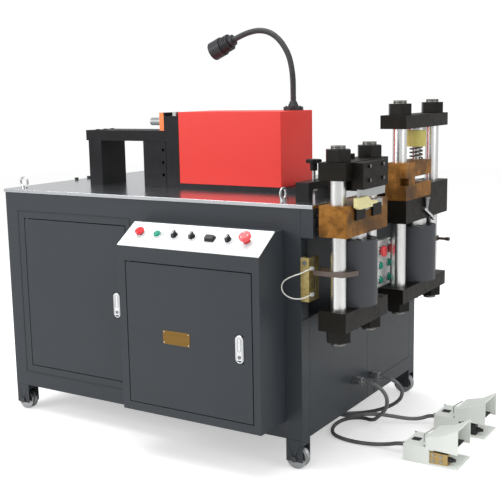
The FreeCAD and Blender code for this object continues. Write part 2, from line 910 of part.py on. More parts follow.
def fasteners():
    """Axle bolts, hinge pins, block bolts, cable glands and the table's two bumpers."""
    pieces = block_bolts() + cable_glands()
    for x0 in (-S.cabinet_length, -S.leg_width):
        x = x0 + S.leg_width / 2
        for y0, way in ((as_size(0), "Y"), (S.cabinet_depth, "-Y")):
            inward = 1 if way == "Y" else -1
            shank = rod("axle", way, (x, y0, S.wheel_radius), S.leg_depth, S.axle_radius)
            head = hexagon("axle_head", way, (x, y0 - S.axle_head_height * inward, S.wheel_radius),
                           S.axle_head_height, S.axle_head_radius)
            tail = hexagon("axle_nut", way, (x, y0 + S.leg_depth * inward, S.wheel_radius),
                           S.axle_tail, S.axle_head_radius)
            pieces.append(fuse("axle_bolt", shank, head, tail))
    for door in door_places():
        pin_x, pin_y, below, above = pin_places(door)
        pieces.append(rod("hinge_pin_low", "Z", (pin_x, pin_y, below), S.pin_length, S.pin_radius))
        top = above + S.tab_thickness - S.pin_length
        pieces.append(rod("hinge_pin_top", "Z", (pin_x, pin_y, top), S.pin_length, S.pin_radius))
    for index in range(2):
        y = S.bumper_front + S.bumper_pitch * index
        x = -S.cabinet_length + S.bumper_inset
        pieces.append(rod("bumper", "Z", (x, y, TABLE), S.bumper_height, S.bumper_radius))
    return node("fasteners", group("fasteners", *pieces))


def wheels():
    """Four steel wheels with a groove round the tread, each on its own axle."""
    half = S.wheel_width / 2
    bore = S.axle_radius + S.running_fit
    profile = [
        (bore, -half), (S.wheel_radius, -half), (S.wheel_radius, -half / 2),
        (S.wheel_radius - S.wheel_groove, 0), (S.wheel_radius, half / 2),
        (S.wheel_radius, half), (bore, half),
    ]
    places = (
        ("wheel_front_left", -S.cabinet_length, S.leg_depth / 2),
        ("wheel_front_right", -S.leg_width, S.leg_depth / 2),
        ("wheel_back_left", -S.cabinet_length, S.cabinet_depth - S.leg_depth / 2),
        ("wheel_back_right", -S.leg_width, S.cabinet_depth - S.leg_depth / 2),
    )
    for name, x0, y in places:
        node(name, turned(name, "Y", (x0 + S.leg_width / 2, y, S.wheel_radius), profile))


def door(name):
    """Folded door with its lock case set in the front, and the lock's paddle as a second node."""
    x, y, z, width, height, lock_inset, lock_bottom = door_places()[name]
    pan = slab(name + "_pan", (x, x + width), (y, y + S.door_return), (z, z + height))
    inside = slab(name + "_inside", (x + S.sheet, x + width - S.sheet),
                  (y + S.sheet, y + S.door_return + S.overrun), (z + S.sheet, z + height - S.sheet))
    pin_x, pin_y, _, _ = pin_places(name)
    pin_hole = rod(name + "_pin_hole", "Z", (pin_x, pin_y, z - S.overrun), height + S.overrun * 2,
                   S.pin_radius + S.running_fit)
    x1 = x + width - lock_inset + S.lock_width / 2
    x0 = x1 - S.lock_width
    z0, z1 = z + lock_bottom, z + lock_bottom + S.lock_height
    front, back = y - S.lock_proud, y + S.lock_depth
    case_hole = slab(name + "_case_hole", (x0, x1), (y - S.overrun, y + S.sheet + S.overrun), (z0, z1))
    case = slab(name + "_case", (x0, x1), (front, back), (z0, z1))
    pocket = slab(name + "_pocket", (x0 + S.lock_wall, x1 - S.lock_wall),
                  (front - S.overrun, back - S.lock_floor), (z0 + S.lock_wall, z1 - S.lock_wall))
    pivot_y, pivot_z = front + S.paddle_thickness / 2, z0 + S.lock_wall + S.paddle_pivot
    pin = rod(name + "_paddle_pin", "X", (x0 + S.lock_wall / 2, pivot_y, pivot_z),
              S.lock_width - S.lock_wall, S.paddle_pin)
    lock_case = fuse(name + "_lock_case", cut(name + "_case_hollow", case, pocket), pin)
    node(name, group(name, cut(name + "_skin", pan, inside, pin_hole, case_hole), lock_case))
    paddle = slab(name + "_lever", (x0 + S.lock_wall + S.lock_slack, x1 - S.lock_wall - S.lock_slack),
                  (front, front + S.paddle_thickness),
                  (z0 + S.lock_wall + S.lock_tail, z1 - S.lock_wall - S.lock_slack))
    bore = rod(name + "_lever_bore", "X", (x0, pivot_y, pivot_z), S.lock_width,
               S.paddle_pin + S.running_fit)
    node(name + "_lock", cut(name + "_lock", paddle, bore))


PANEL_LENGTH = diagonal(S.panel_run, S.panel_rise)
PANEL_TILT = Rotation(Vector(1, 0, 0), math.degrees(math.atan2(S.panel_rise.number, S.panel_run.number)))
PANEL_COS = S.panel_run / PANEL_LENGTH
PANEL_SIN = S.panel_rise / PANEL_LENGTH
PANEL_FOOT = S.box_bottom + S.box_front_height


def tilt_to_panel(thing, x, along, height):
    """Stand a piece on the slanted panel, its own Z square to it."""
    y = -S.box_depth + along * PANEL_COS - height * PANEL_SIN
    z = PANEL_FOOT + along * PANEL_SIN + height * PANEL_COS
    return settle(thing, x, y, z, rotation=PANEL_TILT)


def panel_slab(name, x, along, height):
    box = doc.addObject("Part::Box", name)
    for prop, (low, high) in zip(("Length", "Width", "Height"), (x, along, height)):
        bind(box, prop, as_size(high) - low)
    return tilt_to_panel(box, x[0], as_size(along[0]), as_size(height[0]))


def panel_rod(name, x, along, height, radius):
    cylinder = doc.addObject("Part::Cylinder", name)
    bind(cylinder, "Radius", radius)
    bind(cylinder, "Height", as_size(height[1]) - height[0])
    return tilt_to_panel(cylinder, x, along, as_size(height[0]))


def control_box():
    """Folded case with a slanted top, open at the back and where its door and its panel go."""
    left, right = -S.box_left, -S.box_left + S.box_width
    top = PANEL_FOOT + S.panel_rise
    front, knee = -S.box_depth, -S.box_depth + S.panel_run
    outer = profiled("box_outer", "YZ_Plane", (left, 0, 0), [
        (front, S.box_bottom), (0, S.box_bottom), (0, top), (knee, top), (front, PANEL_FOOT),
    ], S.box_width)
    inner = profiled("box_inner", "YZ_Plane", (left + S.sheet, 0, 0), [
        (front + S.sheet, S.box_bottom + S.sheet), (S.overrun, S.box_bottom + S.sheet),
        (S.overrun, top - S.sheet), (knee, top - S.sheet), (front + S.sheet, PANEL_FOOT - S.sheet),
    ], S.box_width - S.sheet * 2)
    x, y, z, width, height, _, _ = door_places()["box_door"]
    doorway = slab("box_doorway", (x - S.door_gap, x + width + S.door_gap),
                   (y - S.overrun, y + S.sheet + S.overrun), (z - S.door_gap, z + height + S.door_gap))
    window = panel_slab("box_window", (left + S.panel_lip, right - S.panel_lip),
                        (S.panel_lip, PANEL_LENGTH - S.panel_lip), (-S.sheet - S.overrun, S.overrun))
    pieces = [cut("box_shell", outer, inner, doorway, window)]
    pin_x, pin_y, below, above = pin_places("box_door")
    pieces.append(hinge_tab(pin_x, pin_y, below, "box_tab"))
    pieces.append(hinge_tab(pin_x, pin_y, above, "box_tab"))
    return node("control_box", group("control_box", *pieces))


CONTROLS = ("stop_button", "start_button", "selector_left", "selector_middle", "twin_button",
            "selector_right", "emergency_stop")


def control_x(name):
    run = S.box_width - S.control_first - S.control_last
    return -S.box_left + S.control_first + run * CONTROLS.index(name) / (len(CONTROLS) - 1)


def control_panel():
    """White plate over the slanted opening, with a bezel round each control."""
    left, right = -S.box_left, -S.box_left + S.box_width
    plate = panel_slab("panel_plate", (left, right), (0, PANEL_LENGTH), (0, S.panel_thickness))
    holes, bezels = [], []
    for name in CONTROLS:
        x = control_x(name)
        stem = S.stop_stem_radius if name == "emergency_stop" else S.stem_radius
        holes.append(panel_rod("stem_hole", x, S.control_along, (-S.overrun, S.overrun * 2),
                               stem + S.cap_slack))
        foot = (S.panel_thickness, S.panel_thickness + S.bezel_height)
        reach = (S.panel_thickness - S.overrun, S.panel_thickness + S.bezel_height + S.overrun)
        if name == "twin_button":
            half_x = S.twin_width / 2 + S.cap_slack
            half_y = S.twin_length / 2 + S.cap_slack
            wall = S.twin_bezel_wall
            ring = panel_slab("twin_bezel", (x - half_x - wall, x + half_x + wall),
                              (S.control_along - half_y - wall, S.control_along + half_y + wall), foot)
            well = panel_slab("twin_well", (x - half_x, x + half_x),
                              (S.control_along - half_y, S.control_along + half_y), reach)
        else:
            ring = panel_rod("bezel", x, S.control_along, foot, S.bezel_radius)
            well = panel_rod("well", x, S.control_along, reach, S.bezel_radius - S.bezel_wall)
        bezels.append(cut("bezel_ring", ring, well))
    return node("control_panel", group("control_panel", cut("panel", plate, *holes), *bezels))


def panel_turned(name, x, profile):
    """Turned control standing on the slanted panel, heights taken from the plate's top."""
    lifted = [(radius, S.panel_thickness + height) for radius, height in profile]
    piece = turned(name, "Z", (0, 0, 0), lifted)
    return tilt_to_panel(piece, x, S.control_along, as_size(0))


def button_profile(radius, low, high, stem):
    """Cap on a stem; the cap's edge is chamfered by a fifth of its height."""
    chamfer = (high - low) / 5
    return [
        (0, -S.stem_length), (stem, -S.stem_length), (stem, low), (radius, low),
        (radius, high - chamfer), (radius - chamfer, high), (0, high),
    ]


def panel_controls():
    """Buttons, selector knobs and the emergency stop, each free to move by itself."""
    cap = S.bezel_radius - S.bezel_wall - S.cap_slack
    plain = button_profile(cap, S.cap_low, S.cap_high, S.stem_radius)
    mushroom = button_profile(S.mushroom_radius, S.mushroom_low,
                              S.mushroom_low + S.mushroom_thickness, S.stem_radius)
    stop = button_profile(S.stop_radius, S.stop_low, S.stop_low + S.stop_thickness, S.stop_stem_radius)
    node("stop_button", panel_turned("stop_button", control_x("stop_button"), mushroom))
    node("start_button", panel_turned("start_button", control_x("start_button"), plain))
    node("emergency_stop", panel_turned("emergency_stop", control_x("emergency_stop"), stop))
    for name in CONTROLS:
        if not name.startswith("selector"):
            continue
        x = control_x(name)
        disc = panel_turned(name + "_disc", x, [
            (0, -S.stem_length), (S.stem_radius, -S.stem_length), (S.stem_radius, S.knob_disc_low),
            (cap, S.knob_disc_low), (cap, S.knob_disc_high), (0, S.knob_disc_high),
        ])
        base = S.panel_thickness + S.knob_disc_high
        lever = panel_slab(name + "_lever", (x - S.lever_width / 2, x + S.lever_width / 2),
                           (S.control_along - S.lever_length / 2, S.control_along + S.lever_length / 2),
                           (base, base + S.lever_height))
        node(name, fuse(name, disc, lever))
    x = control_x("twin_button")
    low = S.panel_thickness + S.twin_low
    cap_block = panel_slab("twin_cap", (x - S.twin_width / 2, x + S.twin_width / 2),
                           (S.control_along - S.twin_length / 2, S.control_along + S.twin_length / 2),
                           (low, low + S.twin_height))
    stem = panel_rod("twin_stem", x, S.control_along, (-S.stem_length, low), S.stem_radius)
    node("twin_button", fuse("twin_button", cap_block, stem))


def control_gear():
    """Mounting plate with four contactors and a transformer, on the sheet behind the box."""
    left, right = -S.box_left + S.gear_margin, -S.box_left + S.box_width - S.gear_margin
    low = S.box_bottom + S.gear_margin
    high = PANEL_FOOT - S.gear_margin
    pass_left = -S.box_left + S.duct_inset
    pieces = [slab("gear_plate", (left, right), (-S.gear_plate, 0), (low, high))]
    face = -S.gear_plate
    for index in range(4):
        x = pass_left + S.contactor_pitch * index
        z = S.box_bottom + S.contactor_level
        pieces.append(slab("contactor", (x, x + S.contactor_width), (face - S.contactor_depth, face),
                           (z, z + S.contactor_height)))
    z = S.box_bottom + S.transformer_level
    pieces.append(slab("transformer", (pass_left, pass_left + S.transformer_side),
                       (face - S.transformer_side, face), (z, z + S.transformer_side)))
    return node("control_gear", group("control_gear", *pieces))


def power_pack():
    """Oil tank with its lid, the motor above it, the pump below the lid and the valve block."""
    x0, x1 = -S.tank_left, -S.tank_left + S.tank_length
    y1 = S.cabinet_depth - S.sheet - S.tube - S.tank_back
    y0 = y1 - S.tank_depth
    z0 = S.floor_gap + S.floor_sheet
    z1 = z0 + S.tank_height
    tank = cut("tank", slab("tank_outer", (x0, x1), (y0, y1), (z0, z1)),
               slab("tank_inner", (x0 + S.tank_wall, x1 - S.tank_wall),
                    (y0 + S.tank_wall, y1 - S.tank_wall), (z0 + S.tank_wall, z1 + S.overrun)))
    lid_top = z1 + S.lid_thickness
    lid = slab("lid", (x0, x1), (y0, y1), (z1, lid_top))
    motor_x, motor_y = x0 + S.pack_margin + S.motor_radius, y0 + S.tank_depth / 2
    motor = turned("motor", "Z", (motor_x, motor_y, lid_top), [
        (0, 0), (S.motor_radius, 0), (S.motor_radius, S.motor_height),
        (S.motor_cap_radius, S.motor_height), (S.motor_cap_radius, S.motor_height + S.motor_cap_height),
        (0, S.motor_height + S.motor_cap_height),
    ])
    pump = rod("pump", "Z", (motor_x, motor_y, z1 - S.pump_height), S.pump_height, S.pump_radius)
    block_x1 = x1 - S.pack_margin
    block_x0 = block_x1 - S.manifold_length
    block_y0 = y0 + S.pack_margin
    block_top = lid_top + S.manifold_height
    manifold = slab("manifold", (block_x0, block_x1), (block_y0, block_y0 + S.manifold_depth),
                    (lid_top, block_top))
    pieces = [tank, lid, motor, pump, manifold]
    for index in range(2):
        x = block_x0 + S.manifold_length * index / 2
        pieces.append(slab("valve", (x, x + S.valve_side), (block_y0, block_y0 + S.valve_length),
                           (block_top, block_top + S.valve_side)))
    return node("power_pack", group("power_pack", *pieces))


BEND_BACK = S.bend_front + S.bend_depth
RAM_Y = S.bend_front + S.bend_depth / 2
RAM_Z = TABLE + S.ram_axis
HEAD_LEFT = -S.head_left
HEAD_RIGHT = HEAD_LEFT + S.head_width
BEAM_UNDER = TABLE + S.beam_underside
BEAM_TOP = BEAM_UNDER + S.beam_thickness


def bending_frame():
    """Bed, post, top beam and head plate, with the cylinder and the angle gauge on them."""
    depth = (S.bend_front, BEND_BACK)
    bed = slab("bed", (-S.bed_left, -S.bed_left + S.bed_length),
               (S.bend_front, S.bend_front + S.cover_depth), (TABLE, TABLE + S.bed_thickness))
    post_right = -S.post_left + S.post_width
    post = slab("post", (-S.post_left, post_right), depth, (TABLE, BEAM_UNDER))
    beam = slab("top_beam", (-S.beam_left, HEAD_LEFT), depth, (BEAM_UNDER, BEAM_TOP))
    head_block = slab("head_block", (HEAD_LEFT, HEAD_RIGHT), depth, (TABLE, TABLE + S.head_height))
    rod_hole = rod("head_hole", "X", (HEAD_LEFT - S.overrun, RAM_Y, RAM_Z),
                   S.head_width + S.overrun * 2, S.ram_rod_radius + S.column_fit)
    head = cut("head", head_block, rod_hole)
    barrel = rod("barrel", "X", (HEAD_RIGHT, RAM_Y, RAM_Z), S.ram_tube_length, S.ram_tube_radius)
    bore = rod("barrel_bore", "X", (HEAD_RIGHT - S.overrun, RAM_Y, RAM_Z),
               S.ram_tube_length - S.ram_tube_wall + S.overrun, S.ram_bore_radius)
    gauge_y = (S.bend_front, S.bend_front + S.gauge_width)
    gauge_z = (BEAM_TOP, BEAM_TOP + S.gauge_height)
    black = (HEAD_LEFT - S.gauge_black, HEAD_LEFT)
    copper = (HEAD_LEFT - S.gauge_black - S.gauge_copper, HEAD_LEFT - S.gauge_black)
    knob_z = BEAM_TOP + S.gauge_knob_level
    knob = rod("gauge_knob", "-X", (copper[0], gauge_y[0] + S.gauge_knob_radius, knob_z),
               S.gauge_knob_length, S.gauge_knob_radius)
    nut = hexagon("head_nut", "Z", (HEAD_LEFT + S.head_width / 2, gauge_y[0] + S.gauge_width / 2,
                                    TABLE + S.head_height), S.head_nut_height, S.head_nut_radius)
    return node("bending_frame", group(
        "bending_frame", bed, post, beam, head, cut("cylinder_tube", barrel, bore),
        slab("gauge_black", black, gauge_y, gauge_z), slab("gauge_copper", copper, gauge_y, gauge_z),
        knob, nut))


def bending_ram():
    """Ram block under the beam, its rod through the head plate and its piston."""
    right = HEAD_LEFT - S.ram_gap
    left = right - S.ram_length
    block = slab("ram_block", (left, right), (S.bend_front, BEND_BACK),
                 (TABLE + S.ram_glide, BEAM_UNDER - S.ram_glide))
    sockets = []
    for index in range(3):
        z = TABLE + S.ram_screw_low + S.ram_screw_pitch * index
        sockets.append(rod("ram_socket", "Y", (right - S.ram_screw_inset, S.bend_front - S.overrun, z),
                           S.ram_screw_depth + S.overrun, S.ram_screw_radius))
    reach = S.ram_gap + S.head_width + S.ram_tube_length - S.ram_tube_wall * 2
    shaft = rod("ram_rod", "X", (right, RAM_Y, RAM_Z), reach, S.ram_rod_radius)
    piston = rod("ram_piston", "X", (right + reach - S.ram_piston_length, RAM_Y, RAM_Z),
                 S.ram_piston_length, S.ram_piston_radius)
    return node("bending_ram", group(
        "bending_ram", cut("ram", block, *sockets), fuse("ram_shaft", shaft, piston)))


def bending_cover():
    """Red sheet cover over the cylinder, open below."""
    x0, x1 = HEAD_RIGHT, HEAD_RIGHT + S.cover_length
    y0, y1 = S.bend_front, S.bend_front + S.cover_depth
    z0, z1 = TABLE + S.bed_thickness, TABLE + S.bed_thickness + S.cover_height
    wall = S.cover_sheet
    outer = slab("cover_outer", (x0, x1), (y0, y1), (z0, z1))
    inner = slab("cover_inner", (x0 + wall, x1 - wall), (y0 + wall, y1 - wall), (z0 - S.overrun, z1 - wall))
    mouth = rod("cover_mouth", "X", (x0 - S.overrun, RAM_Y, RAM_Z), wall + S.overrun * 2, S.ram_tube_radius)
    return node("bending_cover", cut("bending_cover", outer, inner, mouth))


def work_lamp():
    """Round foot, cone, gooseneck and a ribbed head with a sunk glass."""
    base = TABLE + S.bed_thickness + S.cover_height
    x, y = -S.lamp_x, S.lamp_y
    foot = turned("lamp_foot", "Z", (x, y, base), [
        (0, 0), (S.lamp_base_radius, 0), (S.lamp_base_radius, S.lamp_base_height),
        (S.lamp_cone_radius, S.lamp_base_height),
        (S.lamp_cone_top, S.lamp_base_height + S.lamp_cone_height),
        (0, S.lamp_base_height + S.lamp_cone_height),
    ])
    neck_low = (base + S.lamp_base_height + S.lamp_cone_height).number
    points = [(x.number + dx, y.number, neck_low + dz) for dx, dz in LAMP_NECK_ROUTE]
    neck = flexible("lamp_neck", points, S.neck_radius.number)
    end, before = Vector(*points[-1]), Vector(*points[-2])
    ribs = []
    rib_pitch = S.lamp_rib_length / 4
    for index in range(4):
        start = S.lamp_hub_length + rib_pitch * index
        ribs += [(S.lamp_rib_radius, start), (S.lamp_rib_radius, start + rib_pitch * LAMP_RIB_SHARE),
                 (S.lamp_rib_radius - S.lamp_rim, start + rib_pitch * LAMP_RIB_SHARE),
                 (S.lamp_rib_radius - S.lamp_rim, start + rib_pitch)]
    drum = S.lamp_hub_length + S.lamp_rib_length
    front = drum + S.lamp_drum_length
    rim = S.lamp_drum_radius - S.lamp_rim
    head = turned("lamp_head", "Z", (0, 0, 0), [
        (0, 0), (S.lamp_hub_radius, 0), (S.lamp_hub_radius, S.lamp_hub_length), *ribs,
        (S.lamp_drum_radius, drum), (S.lamp_drum_radius, front), (rim, front),
        (rim, front - S.lamp_glass_depth), (0, front - S.lamp_glass_depth),
    ])
    heading = Rotation(Vector(0, 0, 1), end - before)
    settle(head, as_size(end.x), as_size(end.y), as_size(end.z), rotation=heading)
    return node("work_lamp", group("work_lamp", foot, neck, head))


def columns(name, first, pitch, low, high, extras=()):
    """Two ground columns, necked to studs where the plates and the nuts sit."""
    pieces = []
    bottom, top = low[0], high[1]
    under = S.nut_height + S.stud_proud
    for y in (first, first + pitch):
        pieces.append(turned(name + "_column", "Z", (PRESS_X, y, 0), [
            (0, bottom - under), (S.stud_radius, bottom - under), (S.stud_radius, low[1]),
            (S.column_radius, low[1]), (S.column_radius, high[0]), (S.stud_radius, high[0]),
            (S.stud_radius, top + under), (0, top + under),
        ]))
    return node(name, group(name, *pieces, *extras))


def plates(name, first, pitch, low, high, low_span, high_span):
    """Bottom and top plates with their nuts."""
    pieces = []
    for (z0, z1), (y0, y1), nut_z in ((low, low_span, low[0] - S.nut_height), (high, high_span, high[1])):
        blank = slab(name + "_plate", (PRESS_LEFT, PRESS_RIGHT), (y0, y1), (z0, z1))
        holes = [rod("plate_hole", "Z", (PRESS_X, y, z0 - S.overrun), z1 - z0 + S.overrun * 2, S.stud_radius)
                 for y in (first, first + pitch)]
        pieces.append(cut(name + "_drilled", blank, *holes))
        for y in (first, first + pitch):
            blank_nut = hexagon("column_nut", "Z", (PRESS_X, y, nut_z), S.nut_height, S.nut_radius)
            thread = rod("nut_thread", "Z", (PRESS_X, y, nut_z - S.overrun),
                         S.nut_height + S.overrun * 2, S.stud_radius)
            pieces.append(cut("nut", blank_nut, thread))
    centre = (PRESS_X, first + pitch / 2, low[0] - S.centre_nut_height)
    pieces.append(hexagon("centre_nut", "Z", centre, S.centre_nut_height, S.centre_nut_radius))
    return node(name, group(name, *pieces))


def cylinder(name, y, low, height):
    """Hydraulic cylinder standing on the bottom plate."""
    high = low + height
    return node(name, turned(name, "Z", (PRESS_X, y, 0), [
        (0, low), (S.cylinder_radius, low), (S.cylinder_radius, high),
        (S.rod_radius + S.column_fit, high), (S.rod_radius + S.column_fit, high - S.cylinder_cap),
        (S.bore_radius, high - S.cylinder_cap), (S.bore_radius, low + S.cylinder_floor),
        (0, low + S.cylinder_floor),
    ]))


def piston(name, y, cylinder_low, block_low):
    """Piston that stands still while its cylinder slides down over it."""
    low = cylinder_low + S.cylinder_floor + S.piston_rest
    edge = S.bore_radius - S.piston_slack
    return turned(name, "Z", (PRESS_X, y, 0), [
        (0, low), (edge, low), (edge, low + S.piston_height), (S.rod_radius, low + S.piston_height),
        (S.rod_radius, block_low), (0, block_low),
    ])


def through_holes(first, pitch, low, high):
    """Clearance holes for the two columns."""
    return [rod("column_hole", "Z", (PRESS_X, y, low - S.overrun), high - low + S.overrun * 2,
                S.column_radius + S.column_fit) for y in (first, first + pitch)]


SHEAR_MIDDLE = S.shear_column + S.shear_pitch / 2
SHEAR_BLOCK_LOW = TABLE - S.shear_block_height
SHEAR_TOP = (TABLE + S.shear_throat, TABLE + S.shear_throat + S.shear_top_height)
SHEAR_CYLINDER_LOW = SHEAR_BLOCK_LOW - S.rod_show - S.shear_cylinder_height
SHEAR_BOTTOM = (SHEAR_CYLINDER_LOW - S.shear_bottom_height, SHEAR_CYLINDER_LOW)


def shear_span(edge):
    return S.shear_column - edge, S.shear_column + S.shear_pitch + edge


def shear_press():
    """Fixed block, and the frame that the cylinder pulls down with the upper blade."""
    y0, y1 = shear_span(S.shear_block_edge)
    blank = slab("shear_blank", (PRESS_LEFT, PRESS_RIGHT), (y0, y1), (SHEAR_BLOCK_LOW, TABLE))
    seat_y = (S.blade_front, S.blade_front + S.blade_length)
    seat = slab("blade_seat", (PRESS_RIGHT - S.lower_blade_width, PRESS_RIGHT + S.overrun), seat_y,
                (TABLE - S.lower_blade_height, TABLE + S.overrun))
    lower_blade = slab("lower_blade", (PRESS_RIGHT - S.lower_blade_width, PRESS_RIGHT), seat_y,
                       (TABLE - S.lower_blade_height, TABLE))
    holes = through_holes(S.shear_column, S.shear_pitch, SHEAR_BLOCK_LOW, TABLE)
    brackets = []
    for index in range(2):
        front = S.bracket_front + S.bracket_pitch * index
        high = TABLE - S.bracket_drop
        brackets.append(slab("pad_bracket", (PRESS_RIGHT, PRESS_RIGHT + S.bracket_thickness),
                             (front, front + S.bracket_width), (high - S.bracket_height, high)))
    node("shear_block", group("shear_block", cut("shear_drilled", blank, seat, *holes), lower_blade,
                              *brackets, shear_pad()))
    plates("shear_plates", S.shear_column, S.shear_pitch, SHEAR_BOTTOM, SHEAR_TOP,
           shear_span(S.shear_bottom_edge), shear_span(S.shear_top_edge))
    columns("shear_columns", S.shear_column, S.shear_pitch, SHEAR_BOTTOM, SHEAR_TOP, (shear_trip_arm(),))
    cylinder("shear_cylinder", SHEAR_MIDDLE, SHEAR_CYLINDER_LOW, S.shear_cylinder_height)
    shear_blade()


def shear_blade():
    """Blade carrier under the top plate, holder on its face, blade and screws."""
    under = SHEAR_TOP[0]
    inner = shear_span(-S.carrier_edge)
    carrier = slab("carrier", (PRESS_LEFT + S.carrier_inset, PRESS_RIGHT), inner,
                   (under - S.carrier_drop, under))
    face = PRESS_RIGHT + S.blade_gap
    front, back = S.holder_front, S.holder_front + S.holder_length
    outer = face + S.blade_thickness
    holder = slab("holder", (PRESS_RIGHT, PRESS_RIGHT + S.holder_thickness),
                  (front, back), (under - S.holder_drop, under + S.holder_rise))
    blade = slab("upper_blade", (face, outer), (S.blade_front, S.blade_front + S.blade_length),
                 (under - S.holder_drop - S.blade_drop, under - S.holder_drop))
    pieces = [carrier, holder, blade]
    holder_face = PRESS_RIGHT + S.holder_thickness
    for row_share in (0.32, 0.85):
        for column_share in (0.24, 0.78):
            z = under - S.holder_drop + (S.holder_drop + S.holder_rise) * row_share
            y = front + S.holder_length * column_share
            pieces.append(rod("holder_screw", "X", (holder_face, y, z), S.screw_head_height,
                              S.screw_head_radius))
    spread = S.cap_screw_radius * 3 / 2
    for index in (-1, 1):
        pieces.append(rod("carrier_screw", "Z", (PRESS_LEFT + spread, SHEAR_MIDDLE + spread * index,
                                                 SHEAR_TOP[1]), S.cap_screw_height, S.cap_screw_radius))
    node("shear_blade", group("shear_blade", *pieces))


def shear_pad():
    """Cream pad on the two brackets, its long side stepped as it was cut."""
    x = PRESS_RIGHT + S.blade_gap + S.blade_thickness + S.pad_gap
    low = TABLE - S.pad_drop
    step = low + S.pad_lip
    return profiled("shear_pad", "YZ_Plane", (x, S.pad_front, 0), [
        (0, step), (S.pad_heel, low), (S.pad_body, low), (S.pad_body, step), (S.pad_length, step),
        (S.pad_length, step + S.pad_lip), (S.pad_body - S.pad_lip, TABLE + S.pad_lip),
        (S.pad_shoulder, TABLE + S.pad_rise), (0, TABLE + S.pad_rise),
    ], S.pad_thickness)


def shear_trip_arm():
    """Flat strap closed round the front column, its open end in front of the sensors."""
    y = S.shear_column
    r, t = S.column_radius, S.trip_thickness
    front, back = y - r - t, y + r + t
    left, right = PRESS_X - r - S.trip_reach, PRESS_X + r + t
    tip = right + S.trip_tail
    place = (0, 0, S.trip_level)
    outer = profiled("strap_outer", "XY_Plane", place, [
        (left, front), (right, front), (tip, back - t), (tip, back), (left, back),
    ], S.trip_width)
    inner = profiled("strap_inner", "XY_Plane", (0, 0, S.trip_level - S.overrun), [
        (left - S.overrun, front + t), (right - t / 2, front + t), (tip - t * 3, back - t),
        (left - S.overrun, back - t),
    ], S.trip_width + S.overrun * 2)
    return cut("trip_strap", outer, inner)


PUNCH_MIDDLE = S.punch_column + S.punch_pitch / 2
PUNCH_BLOCK_TOP = TABLE - S.punch_block_top
PUNCH_BLOCK_LOW = PUNCH_BLOCK_TOP - S.punch_block_height
DIE_SLOT_LOW = PUNCH_BLOCK_TOP + S.die_jaw_height
DIE_SLOT_HIGH = DIE_SLOT_LOW + S.die_slot_height
DIE_TOP = DIE_SLOT_HIGH + S.die_upper_height
PUNCH_TOP = (DIE_TOP + S.punch_above, DIE_TOP + S.punch_above + S.punch_top_height)
PUNCH_CYLINDER_LOW = PUNCH_BLOCK_LOW - S.punch_rod_show - S.punch_cylinder_height
PUNCH_BOTTOM = (PUNCH_CYLINDER_LOW - S.punch_bottom_height, PUNCH_CYLINDER_LOW)


def punch_span(front, back):
    return S.punch_column - front, S.punch_column + S.punch_pitch + back


